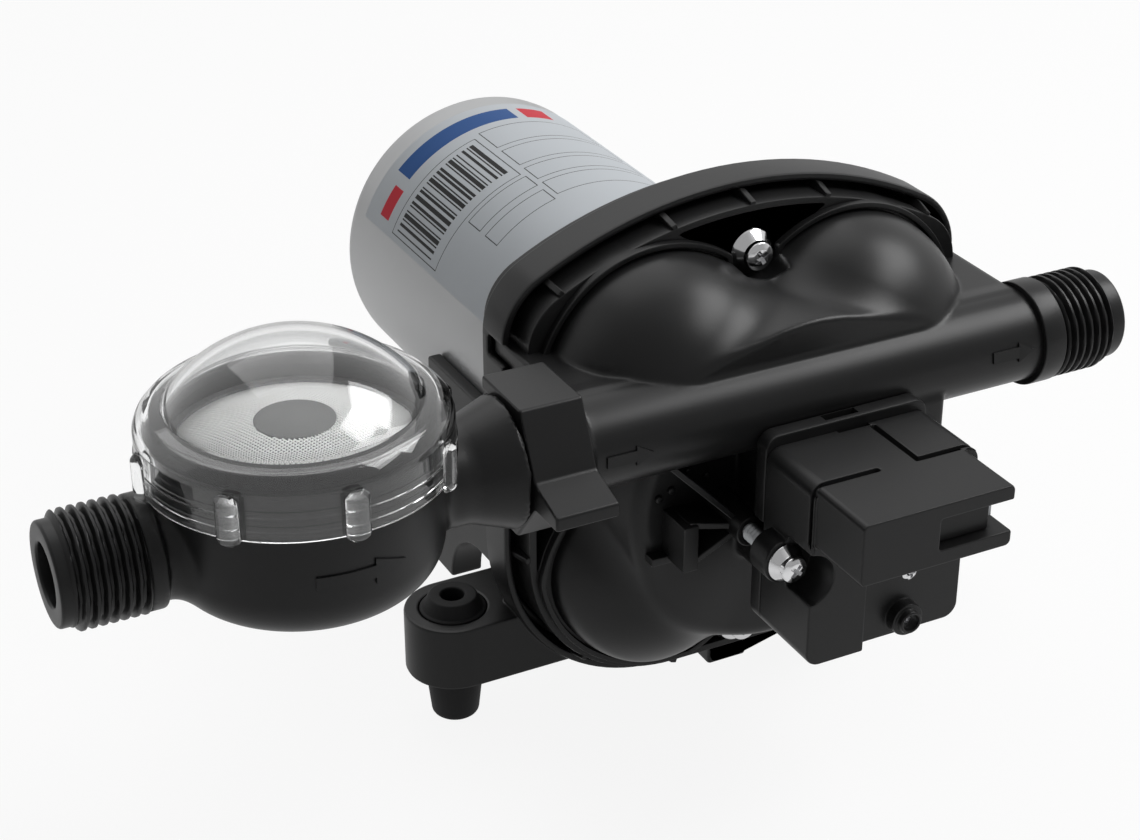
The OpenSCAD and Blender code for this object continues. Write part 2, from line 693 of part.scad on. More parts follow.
module pump_head() {
    color(black) difference() {
        union() {
            to_front(joint_y) linear_extrude(head_plate) flange_outline(head_inset);
            to_front(joint_y) linear_extrude(head_depth + wall_step) difference() {
                flange_outline(head_inset);
                flange_outline(head_inset + head_wall);
            }
            bridges();
            for (p = lobes) {
                bar_y(flange_y, joint_y, dome_radius, p[0], axis_height + p[1]);
                ring_y(p[1] < 0 ? ring_front : flange_y, joint_y, lobe_rim_radius, lobe_rim_radius - 1.2,
                    p[0], axis_height + p[1]);
                low_dome(p, 0, flange_y + 0.1);
            }
            for (s = [-1, 1]) {
                tall_dome(s, 0, joint_y - 1);
                tall_ring(s);
            }
            for (p = head_screw_places)
                bar_y(screw_seat, joint_y - 1, post_radius, p[0], axis_height + p[1]);
            to_front(joint_y - 1) cylinder(h = joint_y - 1 - boss_y, r1 = boss_radius + 7,
                r2 = boss_radius);
            intersection() {
                to_front(joint_y - 1) cylinder(h = joint_y - 1 - flange_y + saddle_reach,
                    r1 = saddle_radius + 3, r2 = saddle_radius);
                block(-lobe_x, lobe_x, flange_y - saddle_reach, joint_y, tube_z, axis_height + flange_half);
            }
            bar_x(clip_right, web_right + 1, tube_radius);
            bar_x(socket_end, clip_right + 1, socket_radius);
            block(clip_right, web_right, tube_y + 3, joint_y - 1,
                tube_z + tube_radius - web_thick, tube_z + tube_radius - 0.1);
            bar_x(web_right, web_right + collar_wide, collar_radius);
            bar_x(web_right + collar_wide - 0.1, web_right + collar_wide + outlet_thread, outlet_radius);
            bar_x(web_right + collar_wide, web_right + collar_wide + outlet_thread + outlet_tip,
                thread_radius - 1.5);
            switch_ribs();
        }
        to_front(joint_y + past) linear_extrude(joint_y + past - valve_front + set_gap)
            lobe_square(valve_half + set_gap);
        for (p = lobes) low_dome(p, head_shell, valve_front + past);
        for (s = [-1, 1]) tall_dome(s, head_shell, valve_front + past);
        bar_x(socket_end - past, spigot_end, socket_bore);
        bar_x(spigot_end - past, -4, tube_bore);
        bar_x(4, web_right + collar_wide + outlet_thread + outlet_tip + past, tube_bore);
        for (p = head_screw_places)
            bar_y(flange_y - 20, screw_seat, screw_head_radius + 0.5, p[0], axis_height + p[1]);
        screw_holes();
        bar_y(boss_y - 20, flange_y - 6, sense_bore, sense_axis[0], axis_height + sense_axis[1]);
        bar_y(boss_y - 20, boss_y + 4, clamp_shank + set_gap, clamp_axis[0], axis_height + clamp_axis[1]);
        for (s = [-1, 1]) block(slot_mid - slot_wide / 2 - set_gap, slot_mid + slot_wide / 2 + set_gap,
            tube_y - 20, tube_y + socket_radius + 1,
            s > 0 ? tube_z + clip_tooth - move_gap : tube_z - 15,
            s > 0 ? tube_z + 15 : tube_z - clip_tooth + move_gap);
    }
}
module head_screws() {
    color(steel) for (p = head_screw_places) {
        bar_y(screw_seat - 1.2, screw_seat, screw_head_radius, p[0], axis_height + p[1]);
        bar_y(screw_seat - 4, screw_seat - 1, screw_head_radius - 1.4, p[0], axis_height + p[1]);
        bar_y(screw_seat - 1, screw_end - 0.5, head_screw_shank, p[0], axis_height + p[1]);
    }
}

// Slide clip: a fork that straddles the inlet socket from the front

clip_inner = socket_radius + move_gap;
clip_outer = clip_inner + clip_arm;
clip_front = tube_y - 12.4;
clip_back = tube_y + 9;
ledge_reach = 8.4;
ledge_thick = 2.8;
module slide_clip() {
    arm_front = tube_y - 6.5;
    color(black) difference() {
        union() {
            translate([clip_left, 0, 0]) rotate([90, 0, 90]) linear_extrude(clip_length) polygon([
                [clip_back, tube_z + clip_outer], [arm_front, tube_z + clip_outer], [clip_front,
                tube_z + 1.3],
                [clip_front - ledge_reach, tube_z - 1.3], [clip_front - ledge_reach,
                tube_z - 1.3 - ledge_thick],
                [clip_front, tube_z - 1.3 - ledge_thick], [tube_y - 5, tube_z - clip_outer],
                [clip_back, tube_z - clip_outer]]);
        }
        bar_x(clip_left - past, clip_right + past, clip_inner);
        block(clip_left - past, clip_right + past, tube_y, clip_back + past, tube_z - clip_inner,
            tube_z + clip_inner);
    }
    color(black) for (s = [0, 1]) translate([0, 0, tube_z]) mirror([0, 0, s])
        block(slot_mid - slot_wide / 2, slot_mid + slot_wide / 2, tube_y - 4, tube_y + 4,
            clip_tooth, clip_inner + 0.5);
}

// Strainer

bowl_x = clip_left - bowl_offset;
bowl_floor = tube_z - bowl_drop;
bowl_top = tube_z + bowl_rise;
ledge_z = bowl_top - 6.4;
ledge_radius = bowl_radius - bowl_wall - 2.2;
seal_section = 0.75;
seal_radius = bowl_radius - bowl_wall / 2;
neck_flare = thread_radius + 2.1;
neck_end = clip_left - move_gap;
spigot_radius = socket_bore - run_gap;
inlet_bore = 5.6;
inlet_end = bowl_x - inlet_reach;
inlet_tip = 2;
inlet_neck = thread_radius - 1.4;
ring_section = 0.85;
ring_places = [slot_mid + 6, slot_mid + 10];
// Groove for one of the two sealing rings of the spigot
module ring_groove(x) {
    to_right(x - ring_section) rotate_extrude() translate([spigot_radius - 2 * ring_section, 0])
        square([2 * ring_section + 1, 2 * ring_section]);
}
module spigot_section() {
    difference() {
        bar_x(neck_end - 0.1, spigot_end - move_gap, spigot_radius);
        for (x = ring_places) ring_groove(x);
        difference() {
            bar_x(slot_mid - slot_wide / 2 - move_gap, slot_mid + slot_wide / 2 + move_gap,
                spigot_radius + 1);
            bar_x(slot_mid - slot_wide, slot_mid + slot_wide, clip_tooth - run_gap);
        }
    }
}
module filter_bowl() {
    color(black) difference() {
        union() {
            translate([bowl_x, tube_y, bowl_floor]) rotate_extrude()
                cup_section(bowl_radius, bowl_top - bowl_floor, bowl_edge);
            bar_x(bowl_x, neck_root + 0.1, inlet_neck);
            to_right(neck_root) cylinder(h = neck_end - neck_root, r1 = inlet_neck + 0.1, r2 = neck_flare);
            spigot_section();
            bar_x(inlet_end + inlet_tip + inlet_thread - 0.1, bowl_x, inlet_neck);
            bar_x(inlet_end + inlet_tip, inlet_end + inlet_tip + inlet_thread, thread_radius);
            bar_x(inlet_end, inlet_end + inlet_tip + 0.1, thread_radius - 1.2);
        }
        translate([bowl_x, tube_y, ledge_z]) cylinder(h = bowl_top, r = bowl_radius - bowl_wall);
        translate([bowl_x, tube_y, bowl_floor + bowl_wall]) rotate_extrude()
            cup_section(ledge_radius, ledge_z - bowl_floor, bowl_edge - bowl_wall);
        translate([bowl_x, tube_y, bowl_top - 2 * seal_section + 0.28]) rotate_extrude()
            translate([seal_radius - seal_section, 0]) square([2 * seal_section, 3]);
        bar_x(inlet_end - past, bowl_x, inlet_bore);
        bar_x(bowl_x, spigot_end, inlet_bore);
    }
}
cover_inner = bowl_radius + 0.6;
cover_outer = cover_inner + cover_wall;
cover_seat = bowl_top + 0.3;
cover_low = cover_seat + cover_wall - cover_skirt;
cover_foot = cover_seat + 3.9;
cover_sphere = (pow(cover_dome_radius, 2) + pow(cover_dome_height, 2)) / (2 * cover_dome_height);
cover_centre = cover_foot + cover_dome_height - cover_sphere;
lug_radius = 2.3;
lug_reach = 1.4;
neck_root = bowl_x + cover_outer + lug_reach + move_gap;
module filter_cover() {
    color([0.85, 0.9, 0.92, 0.35]) translate([bowl_x, tube_y, 0]) {
        rotate_extrude() {
            translate([cover_inner, cover_low]) square([cover_wall, cover_seat - cover_low + 0.1]);
            polygon([[cover_dome_radius - 1.6, cover_seat], [cover_outer, cover_seat],
                [cover_outer - 0.5, cover_seat + 1.2], [cover_dome_radius + 2.4, cover_foot - 0.6],
                [cover_dome_radius, cover_foot], [cover_dome_radius - 1.6, cover_foot]]);
            intersection() {
                difference() {
                    translate([0, cover_centre]) circle(cover_sphere);
                    translate([0, cover_centre]) circle(cover_sphere - cover_wall);
                }
                translate([0, cover_foot - 1.2]) square([cover_dome_radius, cover_dome_height + 2]);
            }
        }
        for (i = [0:lug_count - 1]) rotate([0, 0, i * 360 / lug_count]) difference() {
            translate([cover_outer + lug_reach - lug_radius, 0, cover_low - 0.3])
                cylinder(h = cover_skirt - 1.7, r = lug_radius);
            translate([0, 0, cover_low - 2]) cylinder(h = cover_skirt + 2, r = cover_inner + 0.3);
        }
    }
}
module cover_seal() {
    color(dark_rubber) translate([bowl_x, tube_y, bowl_top - seal_section + 0.28]) rotate_extrude()
        translate([seal_radius, 0]) circle(seal_section - 0.02);
}
mesh_radius = bowl_radius - bowl_wall - 0.3;
mesh_rise = 4.2;
mesh_thick = 0.6;
mesh_disc = 7;
frame_wide = 1.6;
frame_high = 3.2;
module strainer_frame() {
    color([0.6, 0.6, 0.6]) translate([bowl_x, tube_y, ledge_z]) difference() {
        cylinder(h = frame_high, r = mesh_radius);
        translate([0, 0, -past]) cylinder(h = frame_high + 2 * past, r = mesh_radius - frame_wide);
    }
}
module strainer_mesh() {
    base_r = mesh_radius - frame_wide / 2;
    mesh_sphere = (base_r * base_r + mesh_rise * mesh_rise) / (2 * mesh_rise);
    color([0.7, 0.7, 0.7]) translate([bowl_x, tube_y, ledge_z + frame_high]) {
        intersection() {
            difference() {
                translate([0, 0, mesh_rise - mesh_sphere]) sphere(mesh_sphere);
                translate([0, 0, mesh_rise - mesh_sphere]) sphere(mesh_sphere - mesh_thick);
            }
            cylinder(h = mesh_rise + 1, r = base_r + 1);
        }
        translate([0, 0, mesh_rise - mesh_thick - 0.9]) cylinder(h = 0.9, r = mesh_disc);
    }
}
module spigot_seals() {
    color(dark_rubber) for (x = ring_places) to_right(x) rotate_extrude()
        translate([spigot_radius - ring_section + 0.02, 0]) circle(ring_section - 0.02);
}

// Pressure switch

switch_low = tube_z - 3.1 - switch_high;
switch_top = switch_low + switch_high;
switch_right = switch_left + switch_wide;
cover_rear = base_rear - switch_base_thick;
cover_front = cover_rear - switch_cover_depth;
step_x = switch_left + 12.7;
corner = 3;
shroud_front = cover_front - shroud_reach;
shroud_low = switch_top - shroud_high;
shroud_right = switch_right - 2.9;
window_x = switch_left + 17;
lip = 3.1;
clamp_shank = 1.9;
clamp_ear = 4.5;
clamp_seat = cover_rear - 8.6;
adjust_axis = [switch_left + 22.6, switch_low + 4];
nozzle_boss = 3.4;
nozzle_radius = 2.4;
nozzle_bore = 1.6;
nozzle_reach = 3.6;
cover_screw_axis = [adjust_axis[0], adjust_axis[1] + 10.3];
cover_screw_head = 1.75;
diaphragm_disc = 9.3;
plunger_radius = 4.1;
plunger_rear = base_rear - 1.6;
plunger_tip = cover_rear - 6.8;
micro_rear = plunger_tip - plunger_travel - 0.5;
face_y = cover_front + switch_step;

module switch_base() {
    color(black) difference() {
        to_front(base_rear, switch_left, switch_low) linear_extrude(switch_base_thick)
            round_rect(switch_wide, switch_high + base_lift, corner);
        bar_y(plunger_rear, base_rear + past, diaphragm_disc + set_gap, switch_axis[0],
            axis_height + switch_axis[1]);
        bar_y(cover_rear - past, base_rear, plunger_radius + run_gap, switch_axis[0],
            axis_height + switch_axis[1]);
        bar_y(cover_rear - past, base_rear + past, clamp_boss + move_gap,
            clamp_axis[0], axis_height + clamp_axis[1]);
    }
}
module switch_diaphragm() {
    color(dark_rubber) bar_y(plunger_rear + 0.05, base_rear, diaphragm_disc, switch_axis[0],
        axis_height + switch_axis[1]);
}
spring_seat = 5.4;
module switch_plunger() {
    color([0.85, 0.85, 0.8]) {
        bar_y(plunger_tip, plunger_rear, plunger_radius, switch_axis[0], axis_height + switch_axis[1]);
        bar_y(cover_rear - 1.5, cover_rear - 0.1, spring_seat, switch_axis[0],
            axis_height + switch_axis[1]);
    }
}
module switch_spring() {
    color(steel) ring_y(micro_rear, cover_rear - 1.5, spring_seat - 0.2, plunger_radius + 0.4,
        switch_axis[0], axis_height + switch_axis[1]);
}
module microswitch() {
    color([0.15, 0.15, 0.17]) block(switch_axis[0] - 9, switch_axis[0] + 9, face_y + switch_wall,
        micro_rear,
        axis_height + switch_axis[1] - 3.7, axis_height + switch_axis[1] + 6.5);
}
// Outline of the cover, seen from the front, between two heights of its left part
module cover_block(y, depth, x0, x1, shrink) {
    to_front(y, x0 + shrink, switch_low + shrink) linear_extrude(depth)
        round_rect(x1 - x0 - 2 * shrink, switch_high - 2 * shrink, corner - shrink / 2);
}
module connector_shroud() {
    difference() {
        to_front(cover_front + 1, switch_left + 0.4, shroud_low) linear_extrude(shroud_reach + 1)
            round_rect(shroud_right - switch_left - 0.4, shroud_high, 1.2);
        block(window_x, shroud_right + past, shroud_front - past, cover_front, shroud_low + lip,
            switch_top - lip);
        block(switch_left + 2.4, shroud_right + past, shroud_front + switch_wall, cover_front - 0.5,
            shroud_low + lip, switch_top - lip);
    }
}
module cover_grooves() {
    groove = 1.2;
    near = cover_front + 0.4;
    low = switch_top - groove;
    high = switch_top + past;
    block(switch_left - past, switch_left + 14.2, near, near + groove, low, high);
    block(switch_left - past, switch_left + groove, near, near + groove, shroud_low, high);
    block(switch_left + 21.8, switch_left + 21.8 + groove, near, cover_rear - 1.2, low, high);
    block(switch_left + 21.8, switch_right + past, near, near + groove, low, high);
}
module switch_cover() {
    color(black) difference() {
        union() {
            cover_block(cover_rear, switch_cover_depth - switch_step, switch_left, switch_right, 0);
            difference() {
                cover_block(cover_rear, switch_cover_depth, switch_left, switch_right, 0);
                block(step_x, switch_right + past, cover_front - past, face_y, switch_low - past,
                    shroud_low);
            }
            connector_shroud();
            bar_y(clamp_seat, cover_rear - 3, clamp_ear, clamp_axis[0], axis_height + clamp_axis[1]);
            bar_y(face_y - 2.4, face_y + 0.1, nozzle_boss, adjust_axis[0], adjust_axis[1]);
            bar_y(face_y - nozzle_reach, face_y, nozzle_radius, adjust_axis[0], adjust_axis[1]);
        }
        difference() {
            cover_block(cover_rear + past, switch_cover_depth - switch_step - switch_wall + past,
                switch_left, switch_right, switch_wall);
            bar_y(cover_front - past, cover_rear + 1, clamp_ear + switch_wall,
                clamp_axis[0], axis_height + clamp_axis[1]);
        }
        bar_y(cover_front - past, clamp_seat, clamp_ear + 0.9, clamp_axis[0], axis_height + clamp_axis[1]);
        bar_y(cover_front - past, cover_rear + past, clamp_shank + set_gap,
            clamp_axis[0], axis_height + clamp_axis[1]);
        bar_y(face_y - nozzle_reach - past, face_y + switch_wall + past, nozzle_bore + run_gap,
            adjust_axis[0], adjust_axis[1]);
        bar_y(face_y - past, face_y + switch_wall + past, 1.1 + set_gap,
            cover_screw_axis[0], cover_screw_axis[1]);
        cover_grooves();
    }
}
module adjuster_screw() {
    color(steel) difference() {
        bar_y(face_y - nozzle_reach + 1.6, face_y + switch_wall + 3, nozzle_bore, adjust_axis[0],
            adjust_axis[1]);
        to_front(face_y - nozzle_reach + 3.4, adjust_axis[0], adjust_axis[1]) cylinder(h = 3, r = 0.9,
            $fn = 6);
    }
}
module switch_screws() {
    color(steel) {
        bar_y(face_y - 1.5, face_y, cover_screw_head, cover_screw_axis[0], cover_screw_axis[1]);
        bar_y(face_y - 0.5, cover_rear - 1, 1.1, cover_screw_axis[0], cover_screw_axis[1]);
        bar_y(clamp_seat - 1.2, clamp_seat, screw_head_radius - 0.2, clamp_axis[0],
            axis_height + clamp_axis[1]);
        bar_y(clamp_seat - 4, clamp_seat - 1, screw_head_radius - 1.4, clamp_axis[0],
            axis_height + clamp_axis[1]);
        bar_y(clamp_seat - 1, boss_y + 2, clamp_shank, clamp_axis[0], axis_height + clamp_axis[1]);
    }
}
terminal_face = shroud_right - 9;
blade_root = 5;
// The two blades of the connector, grown by a clearance for their slots
module blades(grow) {
    mid_z = (shroud_low + switch_top) / 2;
    for (y = [shroud_front + 5, cover_front - 4])
        block(terminal_face - blade_root - grow, shroud_right - 1.5, y - 0.4 - grow, y + 0.4 + grow,
            mid_z - 2 - grow, mid_z + 2 + grow);
}
module terminal_block() {
    color([0.1, 0.1, 0.1]) difference() {
        block(switch_left + 2.4 + set_gap, terminal_face,
            shroud_front + switch_wall + set_gap, cover_front - 0.5 - set_gap,
            shroud_low + lip + set_gap, switch_top - lip - set_gap);
        blades(run_gap);
    }
}
module terminals() color([0.8, 0.65, 0.3]) blades(0);

motor_can();
motor_end_plate();
motor_screws();
magnets();
armature_core();
armature_windings();
commutator();
motor_shaft();
front_bearing();
rear_bearing();
brush_holder();
brushes();
motor_label();
eccentric_hub();
cam_bearing();
wobble_plate();
diaphragm_pistons();
diaphragm();
drive_housing();
motor_cradle();
rubber_feet();
valve_plate();
inlet_valves();
outlet_valves();
pump_head();
head_screws();
slide_clip();
filter_bowl();
filter_cover();
cover_seal();
strainer_frame();
strainer_mesh();
spigot_seals();
switch_base();
switch_diaphragm();
switch_plunger();
switch_spring();
microswitch();
switch_cover();
adjuster_screw();
switch_screws();
terminal_block();
terminals();
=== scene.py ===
from math import atan2, cos, hypot, pi, radians, sin, sqrt, tan, tau

import bpy
import numpy as np
from mathutils import Matrix, Vector


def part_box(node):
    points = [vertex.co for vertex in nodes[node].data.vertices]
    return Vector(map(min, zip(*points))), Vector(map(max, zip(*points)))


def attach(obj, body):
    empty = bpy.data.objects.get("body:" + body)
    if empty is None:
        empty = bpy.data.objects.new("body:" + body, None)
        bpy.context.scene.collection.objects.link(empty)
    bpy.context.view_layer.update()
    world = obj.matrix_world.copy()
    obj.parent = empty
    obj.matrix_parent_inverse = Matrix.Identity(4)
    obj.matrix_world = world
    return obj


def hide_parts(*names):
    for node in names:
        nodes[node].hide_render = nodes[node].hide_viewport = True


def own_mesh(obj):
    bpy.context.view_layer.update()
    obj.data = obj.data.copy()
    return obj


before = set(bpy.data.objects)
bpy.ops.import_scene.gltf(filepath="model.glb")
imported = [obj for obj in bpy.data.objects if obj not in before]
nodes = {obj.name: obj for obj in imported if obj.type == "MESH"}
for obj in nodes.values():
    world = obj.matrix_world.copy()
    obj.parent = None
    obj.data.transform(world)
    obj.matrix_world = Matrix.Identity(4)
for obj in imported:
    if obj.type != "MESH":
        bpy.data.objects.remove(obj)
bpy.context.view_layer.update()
MM = 0.001

# Motor can: a deep-drawn steel cup, satin plated, open at the front where the end plate closes it.
# Its rear edge is rounded by the drawing, and a small cup in the middle of the rear holds the bush.
CAN_AXIS = Vector((0, 0, 54.5))
CAN_RADIUS, CAN_WALL = 33.8, 1.6
ALONG_Y, ALONG_Z = (0, 1, 0), (0, 0, 1)
WELD, FILLET_SHARE, FILLET_STEP = 2e-6, 0.49, radians(18)


def pick(*pieces):
    """Selects only these pieces, the first one active."""
    bpy.ops.object.select_all(action="DESELECT")
    for piece in pieces:
        piece.select_set(True)
    bpy.context.view_layer.objects.active = pieces[0]


def placed(name, data):
    """New piece in the scene, the only one selected."""
    piece = bpy.data.objects.new(name, data)
    bpy.context.scene.collection.objects.link(piece)
    pick(piece)
    return piece


def smooth(angle=38):
    """Smooth shading of the selected piece, except at edges sharper than this, in degrees."""
    bpy.ops.object.shade_smooth_by_angle(angle=radians(angle))


def filleted(corners, closed=False):
    """Half section through corners (distance from the axis, place along it, rounding), in mm."""
    section = []
    for i, (r, a, rounding) in enumerate(corners):
        inner = closed or 0 < i < len(corners) - 1
        here = Vector((r, a))
        if rounding == 0 or not inner:
            section.append(here)
            continue
        before = Vector(corners[i - 1][:2]) - here
        after = Vector(corners[(i + 1) % len(corners)][:2]) - here
        half = before.angle(after) / 2
        reach = min(rounding / tan(half), FILLET_SHARE * before.length, FILLET_SHARE * after.length)
        rounding = reach * tan(half)
        middle = here + (before.normalized() + after.normalized()).normalized() * (rounding / sin(half))
        first = here + before.normalized() * reach - middle
        last = here + after.normalized() * reach - middle
        start = atan2(first.y, first.x)
        turn = (atan2(last.y, last.x) - start + pi) % tau - pi
        steps = max(2, round(abs(turn) / FILLET_STEP))
        for k in range(steps + 1):
            angle = start + turn * k / steps
            section.append(middle + rounding * Vector((cos(angle), sin(angle))))
    return section


def turned(name, corners, centre, axis, steps, closed=False):
    """Spins a rounded half section round an axis, as on a lathe."""
    axis, side = Vector(axis), Vector((1, 0, 0))
    points = [(Vector(centre) + side * p.x + axis * p.y) * MM for p in filleted(corners, closed)]
    edges = [(i, i + 1) for i in range(len(points) - 1)]
    if closed:
        edges.append((len(points) - 1, 0))
    mesh = bpy.data.meshes.new(name)
    mesh.from_pydata(points, edges, [])
    piece = placed(name, mesh)
    bpy.ops.object.mode_set(mode="EDIT")
    bpy.ops.mesh.select_all(action="SELECT")
    bpy.ops.mesh.spin(steps=steps, angle=tau, center=Vector(centre) * MM, axis=axis)
    bpy.ops.mesh.select_all(action="SELECT")
    bpy.ops.mesh.remove_doubles(threshold=WELD)
    bpy.ops.mesh.normals_make_consistent(inside=False)
    bpy.ops.object.mode_set(mode="OBJECT")
    smooth()
    return piece


def wire_up(tree, *runs):
    """Links the nodes of a tree: (from, output, to, input)."""
    for source, output, target, entry in runs:
        tree.links.new(source.outputs[output], target.inputs[entry])


def surface_grain():
    """Node group: fine grain, a slow change of gloss and a faint change of colour over a surface."""
    group = bpy.data.node_groups.new("surface_grain", "ShaderNodeTree")
    for way, labels in (("INPUT", ("Colour", "Roughness", "Grain", "Patch", "Stretch")),
                        ("OUTPUT", ("Colour", "Roughness", "Height"))):
        for label in labels:
            kind = {"Colour": "NodeSocketColor", "Stretch": "NodeSocketVector"}.get(label, "NodeSocketFloat")
            group.interface.new_socket(name=label, in_out=way, socket_type=kind)
    given, made, place, stretched, tint, fine, slow, change, gloss, shade = (
        group.nodes.new(kind) for kind in (
            "NodeGroupInput", "NodeGroupOutput", "ShaderNodeTexCoord", "ShaderNodeVectorMath",
            "ShaderNodeVectorMath", "ShaderNodeTexNoise", "ShaderNodeTexNoise", "ShaderNodeMath",
            "ShaderNodeMath", "ShaderNodeMath"))
    stretched.operation, tint.operation, change.operation = "MULTIPLY", "SCALE", "SUBTRACT"
    gloss.operation = shade.operation = "MULTIPLY_ADD"
    fine.inputs["Detail"].default_value = 3
    slow.inputs["Detail"].default_value = 4
    slow.inputs["Scale"].default_value = 55
    change.inputs[1].default_value = 0.5
    shade.inputs[2].default_value = 1
    wire_up(group, (place, "Object", stretched, 0), (given, "Stretch", stretched, 1),
            (stretched, 0, fine, "Vector"), (given, "Grain", fine, "Scale"),
            (place, "Object", slow, "Vector"), (slow, "Fac", change, 0),
            (change, 0, gloss, 0), (given, "Patch", gloss, 1),
            (given, "Roughness", gloss, 2), (change, 0, shade, 0), (given, "Patch", shade, 1),
            (given, "Colour", tint, 0), (shade, 0, tint, "Scale"), (tint, 0, made, "Colour"),
            (gloss, 0, made, "Roughness"), (fine, "Fac", made, "Height"))
    return group


GRAIN = surface_grain()


def finish(name, colour, rough, grain=1800, depth=0.02, patch=0.12, stretch=(1, 1, 1), **constants):
    """Material of the shared grain with its own colour, gloss and depth of grain in mm."""
    material = bpy.data.materials.new(name)
    material.use_nodes = True
    tree = material.node_tree
    shader = tree.nodes["Principled BSDF"]
    surface, bump = tree.nodes.new("ShaderNodeGroup"), tree.nodes.new("ShaderNodeBump")
    surface.node_tree = GRAIN
    for socket, value in (("Colour", (*colour, 1)), ("Roughness", rough), ("Grain", grain),
                          ("Patch", patch), ("Stretch", stretch)):
        surface.inputs[socket].default_value = value
    bump.inputs["Distance"].default_value = depth * MM
    wire_up(tree, (surface, "Colour", shader, "Base Color"), (surface, "Roughness", shader, "Roughness"),
            (surface, "Height", bump, "Height"), (bump, "Normal", shader, "Normal"))
    for socket, value in constants.items():
        shader.inputs[socket.replace("_", " ")].default_value = value
    return material


def dress(piece, *materials):
    """Gives a piece these materials and no others."""
    piece.data.materials.clear()
    for material in materials:
        piece.data.materials.append(material)
    return piece


satin_steel = finish("satin_steel", (0.46, 0.465, 0.47), 0.34, 900, 0.004, 0.1, (1, 0.06, 1), Metallic=0.55)
motor_can = turned("motor_can_drawn", [
    (0, 113.9, 0), (8.1, 113.9, 0), (8.1, 111.4, 0), (CAN_RADIUS - CAN_WALL, 111.4, 3.4),
    (CAN_RADIUS - CAN_WALL, 30, 0), (CAN_RADIUS, 30, 0.3), (CAN_RADIUS, 113, 5), (9.5, 113, 1.2),
    (9.5, 115.5, 0.8), (0, 115.5, 0)], CAN_AXIS, ALONG_Y, 160)
dress(motor_can, satin_steel)
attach(motor_can, "pump")
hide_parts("motor_can")

# Label: a pale plastic film wrapped over the top of the can, glued down. It holds only plain colour bands,
# a block of stripes and empty ruled boxes; print and film are faces of one sheet.
LABEL_RADIUS, LABEL_TURN, LABEL_FRONT, LABEL_REAR, FILM = 33.97, 69, 36.0, 103.0, 0.16
INK, BLUE, RED = 1, 2, 3
STRIPE, RULE_ROUND, RULE_ALONG = 0.6, 0.38, 0.22
label_inks = [finish("label_" + name, colour, rough, 700, 0.002, 0.05, Specular_IOR_Level=shine)
              for name, colour, rough, shine in (
                  ("film", (0.50, 0.53, 0.56), 0.42, 0.35), ("ink", (0.012, 0.012, 0.013), 0.45, 0.12),
                  ("blue", (0.008, 0.07, 0.25), 0.42, 0.15), ("red", (0.56, 0.012, 0.03), 0.42, 0.15))]


def built(name, points, faces):
    """Piece made of these points and faces, with every face turned outward."""
    mesh = bpy.data.meshes.new(name)
    mesh.from_pydata(points, [], faces)
    piece = placed(name, mesh)
    bpy.ops.object.mode_set(mode="EDIT")
    bpy.ops.mesh.select_all(action="SELECT")
    bpy.ops.mesh.normals_make_consistent(inside=False)
    bpy.ops.object.mode_set(mode="OBJECT")
    return piece


# Each mark: from and to in degrees round the can, from and to in mm along it, ink.
print_marks = [(-46, 6, 93.0, 99.5, BLUE), (10, 22, 93.0, 99.5, RED), (-64, -51, 92.0, 96.5, RED)]
widths = (1, 2, 1, 3, 1, 1, 2, 3, 2, 1, 1, 3, 1, 2, 2, 1, 3, 1)
turn, k = -64.4, 0
while turn < -20.5:
    wide, gap = widths[k % len(widths)], widths[(k + 7) % len(widths)]
    print_marks.append((turn, turn + STRIPE * wide, 68.0, 86.5, INK))
    turn += STRIPE * (wide + gap)
    k += 1
for a, b, low, high in (
        (-66.6, -16.8, 64.5, 88.5), (-14, 32, 80, 90), (-14, 32, 68.5, 78), (-14, 32, 59.5, 66.5),
        (-14, 32, 50, 57.5), (-44, -16, 57, 63), (-44, -16, 48.5, 54.5)):
    print_marks += [(a, b, low, low + RULE_ALONG, INK), (a, b, high - RULE_ALONG, high, INK),
                    (a, a + RULE_ROUND, low, high, INK), (b - RULE_ROUND, b, low, high, INK)]
turns = sorted({round(v, 3) for v in np.linspace(-LABEL_TURN, LABEL_TURN, 70)}
               | {round(v, 3) for m in print_marks for v in m[:2]})
rows = sorted({LABEL_FRONT, LABEL_REAR} | {round(v, 3) for m in print_marks for v in m[2:4]})
points = [(LABEL_RADIUS * sin(radians(a)) * MM, y * MM, (CAN_AXIS.z + LABEL_RADIUS * cos(radians(a))) * MM)
          for a in turns for y in rows]
faces, inks = [], []
for i in range(len(turns) - 1):
    for j in range(len(rows) - 1):
        a, y = (turns[i] + turns[i + 1]) / 2, (rows[j] + rows[j + 1]) / 2
        here, beyond = i * len(rows) + j, (i + 1) * len(rows) + j
        faces.append((here, here + 1, beyond + 1, beyond))
        inks.append(max((m[4] for m in print_marks if m[0] < a < m[1] and m[2] < y < m[3]), default=0))
motor_label = dress(built("motor_label_film", points, faces), *label_inks)
motor_label.data.polygons.foreach_set("material_index", inks)
sheet = motor_label.modifiers.new("film", "SOLIDIFY")
sheet.thickness = FILM * MM
sheet.offset = -1
bpy.ops.object.modifier_apply(modifier=sheet.name)
smooth()
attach(motor_label, "pump")
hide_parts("motor_label")

